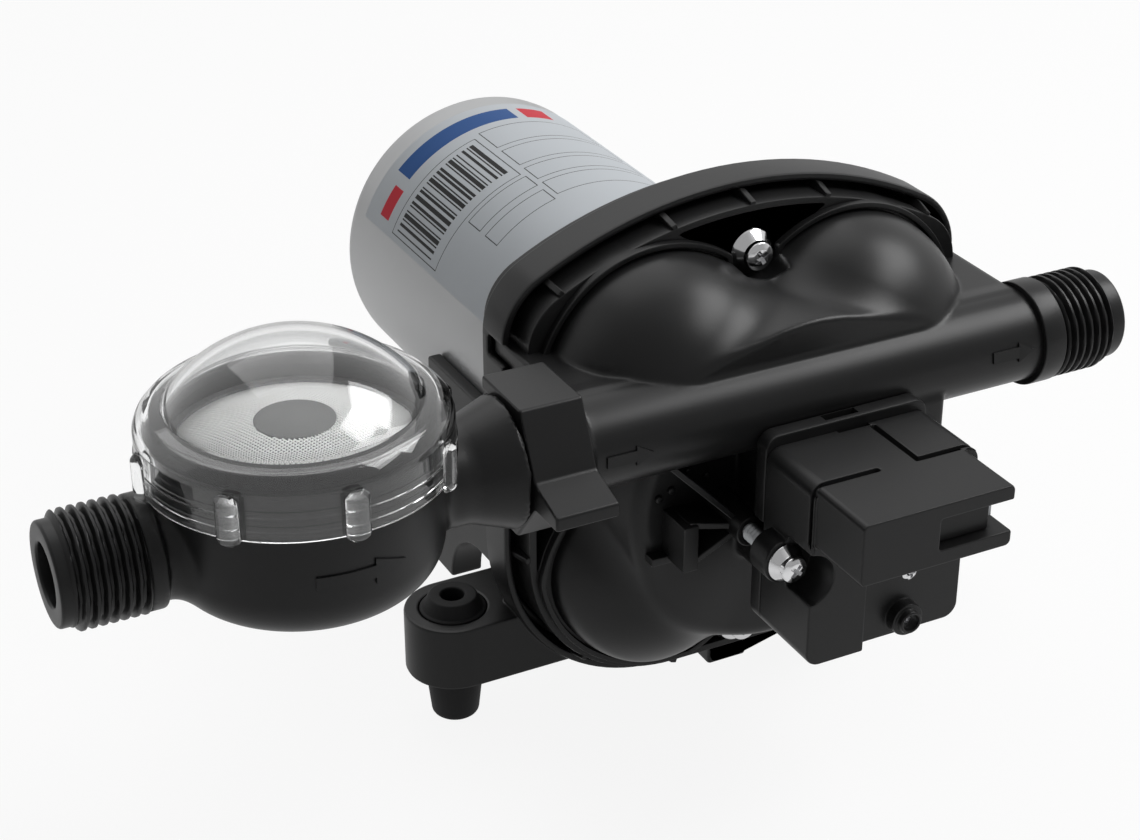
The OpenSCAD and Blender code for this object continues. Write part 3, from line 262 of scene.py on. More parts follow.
# Inner motor pieces, hidden in the can: plated plates and screws, ferrite magnets, laminated core,
# enamelled copper windings, copper commutator, carbon brushes in a brown phenolic holder.
dark_ferrite = finish("dark_ferrite", (0.05, 0.05, 0.055), 0.6)
core_steel = finish("core_steel", (0.32, 0.33, 0.34), 0.42, 5000, 0.03, 0.1, (0.05, 1, 0.05), Metallic=1.0)
copper = finish("copper", (0.72, 0.33, 0.17), 0.34, 2500, 0.03, 0.15, Metallic=1.0)
phenolic = finish("phenolic", (0.13, 0.07, 0.035), 0.5)
carbon = finish("carbon", (0.02, 0.02, 0.021), 0.55)
bronze = finish("bronze", (0.5, 0.36, 0.18), 0.4, Metallic=1.0)
for node, material in (
        ("motor_end_plate", satin_steel), ("motor_screws", satin_steel), ("motor_shaft", satin_steel),
        ("front_bearing", satin_steel), ("magnets", dark_ferrite), ("armature_core", core_steel),
        ("armature_windings", copper), ("commutator", copper), ("rear_bearing", bronze),
        ("brush_holder", phenolic), ("brushes", carbon)):
    dress(nodes[node], material)

# Drive housing: a black glass-filled moulding with an outer rim, a bell round the drive, two foot arms and a
# loop for the lead. The cradle behind it is the same material and carries the can on two legs.
black_plastic = finish("black_plastic", (0.012, 0.012, 0.0123), 0.35, 2600, 0.010, 0.1,
                       Specular_IOR_Level=0.25)


def settle(piece, angle=35):
    """Smooth shading in which flat faces stay flat and only the rounded edges turn."""
    pick(piece)
    smooth(angle)
    even = piece.modifiers.new("even", "WEIGHTED_NORMAL")
    even.keep_sharp = True
    bpy.ops.object.modifier_apply(modifier=even.name)
    return piece


def soften(piece, width, angle=35, segments=2):
    """Rounds the sharp edges of a piece, as a moulding tool leaves them, inside its own box."""
    pick(piece)
    rounding = piece.modifiers.new("edges", "BEVEL")
    rounding.width = width * MM
    rounding.segments = segments
    rounding.limit_method = "ANGLE"
    rounding.angle_limit = radians(angle)
    rounding.use_clamp_overlap = False
    rounding.miter_outer = "MITER_ARC"
    room = [np.array(c) for c in piece.bound_box]
    bpy.ops.object.modifier_apply(modifier=rounding.name)
    places = np.empty(3 * len(piece.data.vertices))
    piece.data.vertices.foreach_get("co", places)
    places = np.clip(places.reshape(-1, 3), np.min(room, 0), np.max(room, 0))
    piece.data.vertices.foreach_set("co", places.ravel())
    return settle(piece, angle)


def moulding_of(node, name):
    """Merged copy of a solid's mesh, flat faces made whole, ready for its edges to be rounded."""
    piece = placed(name, nodes[node].data.copy())
    bpy.ops.object.mode_set(mode="EDIT")
    bpy.ops.mesh.select_all(action="SELECT")
    bpy.ops.mesh.customdata_custom_splitnormals_clear()
    bpy.ops.mesh.remove_doubles(threshold=WELD)
    bpy.ops.mesh.dissolve_limited(angle_limit=radians(0.6))
    bpy.ops.object.mode_set(mode="OBJECT")
    return piece


def stand_for(piece, body, *wanted):
    """The piece rides on a body and is shown in place of these nodes."""
    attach(piece, body)
    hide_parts(*wanted)
    return piece


for node, width in (("drive_housing", 0.7), ("motor_cradle", 0.6)):
    piece = soften(moulding_of(node, node + "_moulding"), width)
    stand_for(dress(piece, black_plastic), "pump", node)

# Rubber feet: one moulded grommet pressed into the hole of each foot arm, with a lip and a cone above the
# arm and a tapered foot below it, bored through for a screw.
FOOT_X = 57.7
black_rubber = finish("black_rubber", (0.010, 0.010, 0.0105), 0.62, 1500, 0.03, 0.1, Specular_IOR_Level=0.22)


def joined(parts):
    """Joins pieces into the first of them."""
    pick(*parts)
    bpy.ops.object.join()
    return parts[0]


rubber_feet = joined([turned("rubber_foot", [
    (2.4, 0, 0.3), (4.8, 0, 1.6), (6.1, 11.5, 0.4), (4.4, 11.5, 0.3), (4.4, 24.5, 0.2), (6.8, 24.5, 0.2),
    (6.8, 25.4, 0.3), (6.2, 25.7, 0.3), (4.9, 28.3, 0.5), (2.4, 28.3, 0.4)], (x, 0, 0), ALONG_Z, 72, True)
    for x in (-FOOT_X, FOOT_X)])
rubber_feet.name = "rubber_feet_turned"
stand_for(dress(rubber_feet, black_rubber), "pump", "rubber_feet")

# Drive and valves, hidden in the housing: a steel hub and bearing on the motor shaft, a white moulded wobble
# plate with its pistons, a rubber diaphragm clamped at its edge, and a valve plate with red rubber flaps.
white_plastic = finish("white_plastic", (0.62, 0.62, 0.58), 0.45)
red_rubber = finish("red_rubber", (0.3, 0.06, 0.03), 0.6)
for node, material in (
        ("eccentric_hub", satin_steel), ("cam_bearing", satin_steel), ("wobble_plate", white_plastic),
        ("diaphragm_pistons", white_plastic), ("diaphragm", black_rubber), ("valve_plate", white_plastic),
        ("inlet_valves", red_rubber), ("outlet_valves", red_rubber)):
    dress(nodes[node], material)

# Pump head: one black moulding of four domed chambers, a round boss between them, a saddle between the
# upper domes and the water tube on its web. All of these run into each other with the soft fillets of
# the tool, so the body is shaped as one blended form. It is held on by four screws.
AXIS_Z, TUBE_Y, TUBE_Z, TUBE_R = 54.5, -36.0, 78.5, 9.3
LOBE_X, LOW_Z, TALL_Z = 21.0, 34.2, 78.8
LOW_Y, LOW_DOME_R, TALL_Y, TALL_R = -7.0, 25, -17.8, 24.4
BOSS_R, BOSS_Y, SADDLE_R, SADDLE_Y, FACE_Y = 33.4, -33, 39.5, -41.5, -40.1
PLATE_Y, FLOOR_Y, RING_Y, SEAT_Y, REAR_Y = -16.6, -12.0, -18.1, -16.0, -5.2
SCREWS = ((0, 44.4), (43.4, 0), (-43.4, 0), (0, -40.3))
ARCH_W, ARCH_R = -32.7, 90
TOP_U, TOP_W, TOP_R = 36.4, 32.87, 15
LOW_U, LOW_W, LOW_R = 15.4, -12.9, 36
HEAD_STEP, PROBE = 0.63, 0.02


def fuse(a, b, soft):
    """Union of two bodies, filleted where they meet."""
    near = np.maximum(soft - np.abs(a - b), 0) / soft
    return np.minimum(a, b) - near * near * soft / 4


def carve(a, b, soft):
    """First body less the second, with a softened edge."""
    return -fuse(-a, b, soft)


def bar_field(along, across, start, end, radius, edge=0.4):
    """Round bar with softened ends: distance along its axis and from its axis."""
    side = across - radius + edge
    ends = np.abs(along - (start + end) / 2) - abs(end - start) / 2 + edge
    return np.hypot(np.maximum(side, 0), np.maximum(ends, 0)) + np.minimum(np.maximum(side, ends), 0) - edge


def box_field(x, y, z, low, high, edge):
    """Block with softened edges."""
    gaps = [np.abs(v - (a + b) / 2) - (b - a) / 2 + edge for v, a, b in zip((x, y, z), low, high)]
    outside = np.sqrt(sum(np.maximum(g, 0) ** 2 for g in gaps))
    return outside + np.minimum(np.maximum(np.maximum(gaps[0], gaps[1]), gaps[2]), 0) - edge


def flange_field(x, z):
    """Distance from the outline of the flange: an arched top, straight sides and round lower corners."""
    u, w = np.abs(x), z - AXIS_Z
    arch = np.hypot(u, w - ARCH_W) - ARCH_R
    top = np.hypot(u - TOP_U, w - TOP_W) - TOP_R
    low = np.hypot(u - LOW_U, w - LOW_W) - LOW_R
    in_arch = (w > TOP_W) & (u * (TOP_W - ARCH_W) < (w - ARCH_W) * TOP_U)
    over = np.where(u > TOP_U, top, w - (ARCH_R + ARCH_W))
    upper = np.where(in_arch, arch, np.where(w > TOP_W, over, u - (TOP_U + TOP_R)))
    return np.where(w < LOW_W, np.where(u > LOW_U, low, -w - (LOW_R - LOW_W)), upper)


def head_field(x, y, z):
    """Distance from the surface of the head, in mm."""
    axis = np.hypot(x, z - AXIS_Z)
    side = np.abs(x) - LOBE_X
    from_tube = np.hypot(y - TUBE_Y, z - TUBE_Z)
    # Low domes and the boss between them, tall domes and the saddle between those, tube and web.
    low_dome = np.sqrt(side ** 2 + (y - LOW_Y) ** 2 + (z - LOW_Z) ** 2) - LOW_DOME_R
    low_dome = carve(low_dome, -(flange_field(x, z) + 6.2), 2.5)
    boss = carve((axis - BOSS_R - (y - BOSS_Y) * 0.26) * 0.968, y - BOSS_Y, 2.6)
    low_side = fuse(low_dome, boss, 4)
    tall_dome = np.hypot(np.hypot(side, z - TALL_Z), np.minimum(y - TALL_Y, 0)) - TALL_R
    saddle = np.maximum((axis - SADDLE_R - (y - SADDLE_Y) * 0.085) * 0.996, np.abs(x) - 26)
    high_side = np.maximum(carve(fuse(tall_dome, saddle, 4.5), y - FACE_Y, 1.0), 80 - z)
    tube = bar_field(x, from_tube, -52, 51, TUBE_R)
    web = box_field(x, y, z, (-50.2, TUBE_Y + 1, 83.8), (49.8, -6, 87.7), 0.5)
    body = fuse(np.maximum(low_side, z - 86), fuse(tube, web, 1.5), 1.2)
    # Seat and ledge of the switch, the socket of the strainer and the seats of the screws.
    pedestal = box_field(x, y, z, (-11.5, -45.4, 42.0), (17.0, -30, 70), 3.0)
    ledge = box_field(x, y, z, (8.0, -45.3, 46.0), (27.4, -30, 74.5), 1.2)
    body = fuse(body, fuse(pedestal, ledge, 0.8), 1.2)
    body = fuse(body, high_side, 0.6)
    socket = bar_field(x, from_tube, -62.2, -49.2, 10.0)
    body = np.maximum(fuse(body, socket, 0.6), y - REAR_Y)
    for sx, sz in SCREWS:
        across = np.hypot(x - sx, z - AXIS_Z - sz)
        body = fuse(body, bar_field(y, across, SEAT_Y, -5.6, 5.2), 0.8)
        body = carve(body, bar_field(y, across, -22.5 if sz > 30 else -60, SEAT_Y, 4.95, 0.1), 0.8)
    # Water spaces: the chambers, the pocket over the valve plate and the bores of the tube.
    room = np.minimum(low_dome, np.maximum(tall_dome, 78.5 - z)) + 2.5
    body = carve(body, np.maximum(room, y + 13.5), 0.5)
    pocket = np.hypot(np.maximum(side, 0), np.maximum(np.abs(z - AXIS_Z) - 20.3, 0)) - 17.5
    body = carve(body, np.maximum(pocket, -14.1 - y), 0.3)
    for start, end, radius in ((-70, -44.2, 8.1), (-45, -4, 6.5), (4, 80, 6.5)):
        body = carve(body, bar_field(x, from_tube, start, end, radius), 0.3)
    return body


def moulded(name, field, low, high, step):
    """Mesh of the surface where a field is zero, each vertex set exactly on it."""
    import openvdb
    counts = [int((b - a) / step) + 1 for a, b in zip(low, high)]
    spots = [a + step * np.arange(n, dtype=np.float32) for a, n in zip(low, counts)]
    values = field(*np.meshgrid(*spots, indexing="ij")).astype(np.float32)
    grid = openvdb.FloatGrid(float(3 * step))
    grid.copyFromArray(np.clip(values, -3 * step, 3 * step))
    points, triangles, quads = grid.convertToPolygons(isovalue=0.0, adaptivity=0.0)
    points = points.astype(np.float64) * step + np.array(low)
    for _ in range(4):
        x, y, z = points.T
        slope = np.stack([field(x + PROBE, y, z) - field(x - PROBE, y, z),
                          field(x, y + PROBE, z) - field(x, y - PROBE, z),
                          field(x, y, z + PROBE) - field(x, y, z - PROBE)], 1) / (2 * PROBE)
        size = np.maximum((slope ** 2).sum(1), 0.2)
        move = slope * (field(x, y, z) / size)[:, None]
        points -= np.clip(move, -0.25, 0.25)
    piece = built(name, points * MM, [*triangles.tolist(), *quads.tolist()])
    bpy.ops.object.shade_smooth()
    return piece


head_parts = [moulded("pump_head_moulding", head_field, (-63, -47, 4), (57, -4, 112), HEAD_STEP)]
thinned = head_parts[0].modifiers.new("thinned", "DECIMATE")
thinned.ratio = 0.58
bpy.ops.object.modifier_apply(modifier=thinned.name)


def flange_loop(inset):
    """Outline of the flange, this far inside its edge."""
    lean = atan2(TOP_U, TOP_W - ARCH_W)
    half = []
    for u, w, radius, first, last, steps in (
            (0, ARCH_W, ARCH_R, 0, lean, 22), (TOP_U, TOP_W, TOP_R, lean, pi / 2, 16),
            (LOW_U, LOW_W, LOW_R, pi / 2, pi, 24)):
        for k in range(steps + 1):
            turn = first + (last - first) * k / steps
            half.append((u + (radius - inset) * sin(turn), w + (radius - inset) * cos(turn)))
    loop = half + [(-u, w) for u, w in reversed(half[1:])]
    return [(u, w + AXIS_Z) for i, (u, w) in enumerate(loop)
            if i == 0 or hypot(u - loop[i - 1][0], w - loop[i - 1][1]) > 0.05]


def traced(centre, inside, steps=120):
    """Outline round a centre, where a field of the plane turns from inside to outside."""
    turns = np.arange(steps) * tau / steps
    near, far = np.zeros(steps), np.full(steps, 70.0)
    for _ in range(40):
        half = (near + far) / 2
        within = inside(centre[0] + half * np.cos(turns), centre[1] + half * np.sin(turns)) < 0
        near, far = np.where(within, half, near), np.where(within, far, half)
    return [(centre[0] + r * cos(t), centre[1] + r * sin(t)) for r, t in zip(near, turns)]


def sawn(name, loops, low, high, edge=0.35):
    """Flat outline in X and Z, with its holes, cut to a thickness along Y and rounded along its edges."""
    curve = bpy.data.curves.new(name, "CURVE")
    curve.dimensions = "2D"
    curve.fill_mode = "BOTH"
    curve.extrude = (high - low) / 2 * MM
    for loop in loops:
        spline = curve.splines.new("POLY")
        spline.points.add(len(loop) - 1)
        for point, (a, b) in zip(spline.points, loop):
            point.co = (a * MM, b * MM, 0, 1)
        spline.use_cyclic_u = True
    piece = placed(name, curve)
    bpy.ops.object.convert(target="MESH")
    middle = (low + high) / 2 * MM
    piece.data.transform(Matrix(((1, 0, 0, 0), (0, 0, -1, middle), (0, 1, 0, 0), (0, 0, 0, 1))))
    bpy.ops.object.mode_set(mode="EDIT")
    bpy.ops.mesh.select_all(action="SELECT")
    bpy.ops.mesh.remove_doubles(threshold=1e-6)
    bpy.ops.mesh.dissolve_limited(angle_limit=radians(0.5))
    bpy.ops.mesh.normals_make_consistent(inside=False)
    bpy.ops.object.mode_set(mode="OBJECT")
    return soften(piece, edge, 40) if edge else piece


def pocket_field(x, z, top):
    """Pockets between the rings of the four domes and the wall of the flange, below a height."""
    side = np.abs(x) - LOBE_X
    rings = np.minimum(np.hypot(side, z - TALL_Z) - 27.0, np.hypot(side, z - LOW_Z) - 26.0)
    return np.maximum(np.maximum(flange_field(x, z) + 4.8, -rings), z - top)


pockets = [traced(centre, lambda x, z: pocket_field(x, z, top)) for centre, top in (
    ((0, 103), 120), ((-44, 55.5), 82), ((44, 55.5), 82), ((0, 13.5), 120))]
head_parts.append(sawn("head_plate", [flange_loop(3.2)] + pockets, PLATE_Y, -5.0))
head_parts.append(sawn("head_floor", [flange_loop(3.4)], FLOOR_Y, -5.1, edge=0))


def tall_ring(x, z, s, inset):
    """Outline of the ring round a tall dome, open below and round the top screw."""
    return np.maximum(np.hypot(x - s * LOBE_X, z - TALL_Z) - 26.2 + inset, np.maximum(
        85 + inset - z, 5.0 + inset - np.hypot(x, z - AXIS_Z - 44.4)))


def low_ring(x, z, s, inset):
    """Outline of the ring round a low dome, cut off by the wall of the flange."""
    return np.maximum(np.hypot(x - s * LOBE_X, z - LOW_Z) - 25.6, flange_field(x, z) + 4.5) + inset


for s in (-1, 1):
    for ring, height in ((tall_ring, 92), (low_ring, LOW_Z)):
        loops = [traced((s * LOBE_X, height), lambda x, z: ring(x, z, s, inset), 180) for inset in (0, 1.2)]
        head_parts.append(sawn("dome_ring", loops, RING_Y, -8))

# Ribs of the head: moulded with it. Those on the outside of its wall run out from under the outer rim of the
# housing, and three thin ones stand in the pocket over the top screw.


def wedge(name, corners, depth):
    """Small rib: a flat outline of corners in mm, thickened along a direction, with its edges broken."""
    mesh = bpy.data.meshes.new(name)
    mesh.from_pydata([c * MM for c in corners], [], [tuple(range(len(corners)))])
    piece = placed(name, mesh)
    bpy.ops.object.mode_set(mode="EDIT")
    bpy.ops.mesh.select_all(action="SELECT")
    bpy.ops.mesh.extrude_region_move(TRANSFORM_OT_translate={"value": depth * MM})
    bpy.ops.mesh.select_all(action="SELECT")
    bpy.ops.mesh.normals_make_consistent(inside=False)
    bpy.ops.object.mode_set(mode="OBJECT")
    return soften(piece, 0.15, 30, 1)


def at(place, y):
    """The same place, moved along Y."""
    return place + Vector((0, y, 0))


for angle in (0, 18, 43, 76, 104, 137, 162):
    for s in ((1,) if angle == 0 else (-1, 1)):
        way = Vector((s * sin(radians(angle)), 0, cos(radians(angle))))
        across = Vector((way.z, 0, -way.x))
        near, far = 30.0, 80.0
        for _ in range(40):
            half = (near + far) / 2
            within = flange_field(half * way.x, AXIS_Z + half * way.z) < -1.65
            near, far = (half, far) if within else (near, half)
        start = Vector((0, 0, AXIS_Z)) + way * near - across * 0.65
        head_parts.append(wedge("wall_rib", [
            at(start, -8), at(start, -12.6), at(start - way * 0.9, -16.4), at(start - way * 2.4, -16.4),
            at(start - way * 2.4, -8)], across * 1.3))
for x0, z0, x1, z1 in ((0, 103, 0, 108), (-3.4, 102.4, -11, 106.5), (3.4, 102.4, 11, 106.5)):
    way = Vector((x1 - x0, 0, z1 - z0)).normalized()
    across = Vector((way.z, 0, -way.x)) * 0.8
    low, high = Vector((x0, 0, z0)) - across / 2, Vector((x1, 0, z1)) - across / 2
    head_parts.append(wedge("pocket_rib", [at(low, -15.2), at(high, -16.2), at(high, -8.5), at(low, -8.5)],
                            across))

# Clamp boss: a tube for the clamp screw beside the switch, moulded with the head, on three ribs with a tab.
# Small round marks of the tool's ejector pins lie near it.
CLAMP = Vector((-15.8, 0, 55.8))
CLAMP_FLOOR = -32.6


def oblong(left, low, right, high):
    """Corners of a rectangle in X and Z."""
    return [(left, low), (right, low), (right, high), (left, high)]


head_parts.append(turned("clamp_boss", [
    (1.95, -45.5, 0.3), (3.1, -45.5, 0.3), (3.1, -40.2, 0.2), (3.5, -32.5, 0), (1.95, -32.5, 0)],
    CLAMP, ALONG_Y, 48, True))
for x, z in ((-30.4, 70.7), (-26.4, 57.0), (-26.4, 48.0)):
    start = Vector((x, 0, z))
    way = (CLAMP - start).normalized()
    across = Vector((way.z, 0, -way.x)) * 1.2
    end = CLAMP - way * 2.4 - across / 2
    start -= across / 2
    head_parts.append(wedge("clamp_rib", [
        at(start, CLAMP_FLOOR), at(start, -40.4), at(end, -42.6), at(end, CLAMP_FLOOR)], across))
head_parts.append(sawn("clamp_tab", [oblong(-28.0, 47.6, -24.8, 57.4)], -41.5, CLAMP_FLOOR, edge=0.3))
head_parts.append(sawn("clamp_tab_foot", [oblong(-31.5, 46.6, -25, 48.4)], -35.5, CLAMP_FLOOR, edge=0.3))
for x, z in ((-24.2, 67.3), (-22.8, 64.6), (-26.3, 61.2), (-29.0, 60.0), (-18.6, 62.6)):
    head_parts.append(turned("ejector_mark", [
        (0, -33.7, 0), (0.75, -33.7, 0.4), (0.8, CLAMP_FLOOR, 0), (0, CLAMP_FLOOR, 0)],
        (x, 0, z), ALONG_Y, 20))

# Outlet: a collar and a half-inch parallel pipe thread moulded on the right end of the water tube, cut here
# as a true helix and bored through.
PITCH = 1.814


def lathe_points(corners):
    """Rounded corners of a turned section as (place along X, radius)."""
    return [(p.y, p.x) for p in filleted([(r, a, e) for a, r, e in corners])]


def screwed(name, collar, mouth, first, last, crest, depth, steps=96):
    """Collar, thread between two places and mouth on the tube's axis; corners are (x, radius, rounding)."""
    way = 1 if last > first else -1
    count = round(abs(last - first) / (PITCH / 12))
    rows = lathe_points(collar)
    rows += [(first + (last - first) * k / count, None) for k in range(count + 1)]
    rows += lathe_points(mouth)
    turns = np.arange(steps) * tau / steps
    points, faces = [], []
    for x, r in rows:
        if r is None:
            wave = np.cos((x - first) / PITCH * tau - turns * way)
            shape = np.clip(0.5 + 0.78 * wave, 0, 1)
            fade = np.clip(np.minimum((x - first) * way, (last - x) * way) / (0.55 * PITCH), 0, 1)
            radii = crest - depth + depth * shape * fade
        else:
            radii = np.full(steps, float(r))
        points += [(x * MM, (TUBE_Y + a * cos(t)) * MM, (TUBE_Z + a * sin(t)) * MM)
                   for a, t in zip(radii, turns)]
    for i in range(len(rows)):
        j = (i + 1) % len(rows)
        for k in range(steps):
            m = (k + 1) % steps
            faces.append((i * steps + k, i * steps + m, j * steps + m, j * steps + k))
    piece = built(name, points, faces)
    smooth(40)
    return piece


head_parts.append(screwed(
    "outlet",
    [(48, 6.5, 0), (48, 9.0, 0), (49.8, 9.3, 0), (49.8, 10.5, 0.3), (54.8, 10.5, 0.3), (54.8, 9.15, 0)],
    [(67.4, 9.15, 0), (67.5, 9.0, 0), (70.6, 9.0, 0.7), (70.6, 6.5, 0.5), (62, 6.5, 0), (50, 6.5, 0)],
    first=54.9, last=67.3, crest=10.3, depth=1.15))

# Flow arrows: plain arrows moulded on the front of the tube near both of its ends, standing a little proud.
# They point the way the water goes, to the outlet.
ARROW_HEIGHT, ARROW_ROOT = 0.4, -0.6


def raised_arrow(place, length, neck, shaft, head):
    """Solid arrow bent onto a wall: place(along, across, height) gives the point in mm."""
    rows = [(s, shaft) for s in np.linspace(0, neck, 9)]
    rows += [(s + 0.01, max(head * (length - s) / (length - neck), 0.05))
             for s in np.linspace(neck, length, 7)]
    points = [place(s, t, h) * MM for s, b in rows
              for t, h in ((-b, ARROW_ROOT), (b, ARROW_ROOT), (b, ARROW_HEIGHT), (-b, ARROW_HEIGHT))]
    faces = [(3, 2, 1, 0), tuple(4 * len(rows) - 4 + q for q in range(4))]
    for i in range(len(rows) - 1):
        faces += [(4 * i + q, 4 * i + (q + 1) % 4, 4 * i + 4 + (q + 1) % 4, 4 * i + 4 + q) for q in range(4)]
    piece = built("flow_arrow", points, faces)
    smooth(30)
    return piece


def tube_front(start, tilt):
    """Front of the tube from a place along it, turned up by an angle, as the wall of an arrow."""
    def place(s, t, h):
        angle = t / TUBE_R + tilt
        return Vector((start + s, TUBE_Y - (TUBE_R + h) * cos(angle), TUBE_Z + (TUBE_R + h) * sin(angle)))
    return place


for start, tilt in ((-46.7, 0.0), (37.85, 0.14)):
    head_parts.append(raised_arrow(tube_front(start, tilt), length=9.5, neck=6.0, shaft=1.1, head=1.95))
stand_for(dress(joined(head_parts), black_plastic), "pump", "pump_head")

# Screws: plated pan heads on a dished flange with a cross recess. Four hold the head, one clamps the switch
# through its ear and one small one holds the cover of the switch.
CLAMP_SEAT, CLAMP_END = -57.7, -32
chrome = finish("chrome", (0.72, 0.72, 0.73), 0.1, 600, 0.002, 0.05, Metallic=1.0)


def cut(piece, tool):
    """Cuts the tool out of a piece and removes the tool."""
    pick(piece)
    hollow = piece.modifiers.new("cut", "BOOLEAN")
    hollow.operation = "DIFFERENCE"
    hollow.solver = "EXACT"
    hollow.object = tool
    bpy.ops.object.modifier_apply(modifier=hollow.name)
    bpy.data.objects.remove(tool)
    return piece


def screw(name, x, z, seat, flange, head, high, recess, turn):
    """Screw head on a seat, facing forward, with a cross recess in its domed top."""
    front = seat - high
    piece = turned(name, [
        (0, front, 0), (head * 0.55, front + 0.08, 1), (head, front + 0.55, 0.45),
        (head, front + high * 0.42, 0.3), (flange - 0.25, seat - high * 0.2, 0.4),
        (flange, seat - high * 0.12, 0.2), (flange, seat, 0.1), (0, seat, 0)], (x, 0, z), ALONG_Y, 48)
    arm, wide = recess, recess * 0.27
    plus = [(arm, wide), (wide, wide), (wide, arm), (-wide, arm), (-wide, wide), (-arm, wide), (-arm, -wide),
            (-wide, -wide), (-wide, -arm), (wide, -arm), (wide, -wide), (arm, -wide)]
    loop = [(x + a * cos(turn) - b * sin(turn), z + a * sin(turn) + b * cos(turn)) for a, b in plus]
    cut(piece, sawn("recess", [loop], front - 1, front + high * 0.3, edge=0))
    smooth()
    return piece


head_screws = joined([
    screw("head_screw", x, AXIS_Z + z, SEAT_Y, flange=4.75, head=2.95, high=4.2, recess=1.55,
          turn=0.5 + 0.7 * i) for i, (x, z) in enumerate(SCREWS)])
head_screws.name = "head_screws_plated"
stand_for(dress(head_screws, chrome), "pump", "head_screws")
clamp_shank = [(0, CLAMP_SEAT, 0)]
for k in range(26):
    clamp_shank += [(1.9, CLAMP_SEAT + k, 0), (1.5, CLAMP_SEAT + 0.5 + k, 0)]
clamp_shank = [c for c in clamp_shank if c[1] < CLAMP_END] + [(1.5, CLAMP_END, 0), (0, CLAMP_END, 0)]
switch_screws = joined([
    dress(screw("switch_screws_plated", CLAMP.x, CLAMP.z, -57.6, flange=3.85, head=2.65, high=4.0,
                recess=1.4, turn=0.9), chrome),
    dress(turned("clamp_thread", clamp_shank, CLAMP, ALONG_Y, 40), core_steel),
    dress(screw("cover_screw", 7.1, 51.1, -63.4, flange=1.75, head=1.7, high=2.3, recess=1.0,
                turn=0.2), chrome)])
stand_for(switch_screws, "pump", "switch_screws")

# Slide clip: a black moulded fork that slides over the joint of the strainer and the tube from the front.
# Its stepped nose is the finger grip.
slide_clip = soften(moulding_of("slide_clip", "slide_clip_moulding"), 0.55, 25, 3)
stand_for(dress(slide_clip, black_plastic), "clip", "slide_clip")

# Strainer bowl: a black moulded cup with a threaded inlet neck, a flared neck toward the pump and a spigot
# that plugs into the tube. A ledge inside holds the gauze, and the cover closes it from above on a seal.
CUP_X, CUP_Y, CUP_R, CUP_EDGE, CUP_TOP = -101.6, -36.0, 25, 9, 96.9
CUP_CENTRE = (CUP_X, CUP_Y, 0)


def bowl_field(x, y, z):
    """Distance from the surface of the strainer bowl, in mm."""
    r = np.hypot(x - CUP_X, y - CUP_Y)
    rho = np.hypot(y - TUBE_Y, z - TUBE_Z)
    side, under = r - (CUP_R - CUP_EDGE), 75.1 - z
    cup = np.hypot(np.maximum(side, 0), np.maximum(under, 0)) + np.minimum(np.maximum(side, under), 0)
    cup = np.maximum(cup - CUP_EDGE, z - CUP_TOP)
    neck = bar_field(x, rho, -131.2, -72.0, 9.1)
    flare = np.maximum((rho - 9.18 - np.maximum(x + 72.6, 0) * 0.358) * 0.941, np.maximum(x + 63.1, -80 - x))
    body = fuse(cup, fuse(neck, flare, 1.2), 2.4)
    body = fuse(body, bar_field(x, rho, -131.6, -128.4, 10.2, 0.4), 0.5)
    body = fuse(body, bar_field(x, rho, -64, -44.6, 8.05, 0.5), 0.4)
    inner = np.minimum(bar_field(z, r, 68.3, 105, 20.6, 6), bar_field(z, r, 90.5, 105, 22.8, 0.2))
    body = carve(body, inner, 0.3)
    for start, end in ((-150, -112), (-92, -40)):
        body = carve(body, bar_field(x, rho, start, end, 5.6), 0.3)
    return body


def on_cup(s, t, h):
    """Point on the front of the cup, from the tail of its arrow."""
    angle = (s - 6.8) / CUP_R
    return Vector((CUP_X + (CUP_R + h) * sin(angle), CUP_Y - (CUP_R + h) * cos(angle), 79.3 + t))


filter_bowl = joined([
    moulded("filter_bowl_moulding", bowl_field, (-133, -63, 65), (-43, -9, 98), 0.62),
    raised_arrow(on_cup, length=16.5, neck=10.3, shaft=1.15, head=2.4),
    screwed("inlet", [(-129.5, 5.6, 0), (-129.5, 9.3, 0), (-130.6, 9.3, 0)],
            [(-144.6, 9.3, 0), (-144.7, 9.28, 0), (-146.6, 9.28, 0.6), (-146.6, 5.6, 0.5), (-140, 5.6, 0),
             (-131, 5.6, 0)], first=-130.7, last=-144.5, crest=10.47, depth=1.17)])
stand_for(dress(filter_bowl, black_plastic), "strainer", "filter_bowl")
cover_seal = turned("cover_seal_ring", [
    (20.9, 96.95, 0.2), (25.2, 96.95, 0.2), (25.1, 97.2, 0.1), (23.9, 98.7, 0.5), (21.5, 99.15, 0.3),
    (20.9, 98.9, 0.2)], CUP_CENTRE, ALONG_Z, 128, True)
stand_for(dress(cover_seal, black_rubber), "strainer", "cover_seal")
for node in ("spigot_seals", "switch_diaphragm"):
    dress(nodes[node], black_rubber)

# Gauze: steel wire cloth pressed into a shallow dome, with a plain plastic disc in its middle, both moulded
# into a plastic ring that rests on the ledge of the bowl.
GAUZE_R, GAUZE_Z, GAUZE_RISE = 21.7, 92.6, 4.2
WEAVE, WEAVE_TURN, WIRE, WIRE_LIFT, WIRE_STEP = 0.62, 0.35, 0.19, 0.09, 0.93
DISC_R = 7
# The wire is painted near white, paler than bare steel: its own light grey with painted light added for the
# lamp light that the clear dome keeps from it.
gauze_wire = finish("gauze_wire", (0.92, 0.92, 0.91), 0.4, 800, 0.002, 0.05)
grey_plastic = finish("grey_plastic", (0.13, 0.13, 0.13), 0.5, 1800, 0.01, 0.06)


def dome_height(x, y):
    """Height of the gauze over the middle of the strainer."""
    return GAUZE_Z + GAUZE_RISE * (1 - (x * x + y * y) / GAUZE_R ** 2)


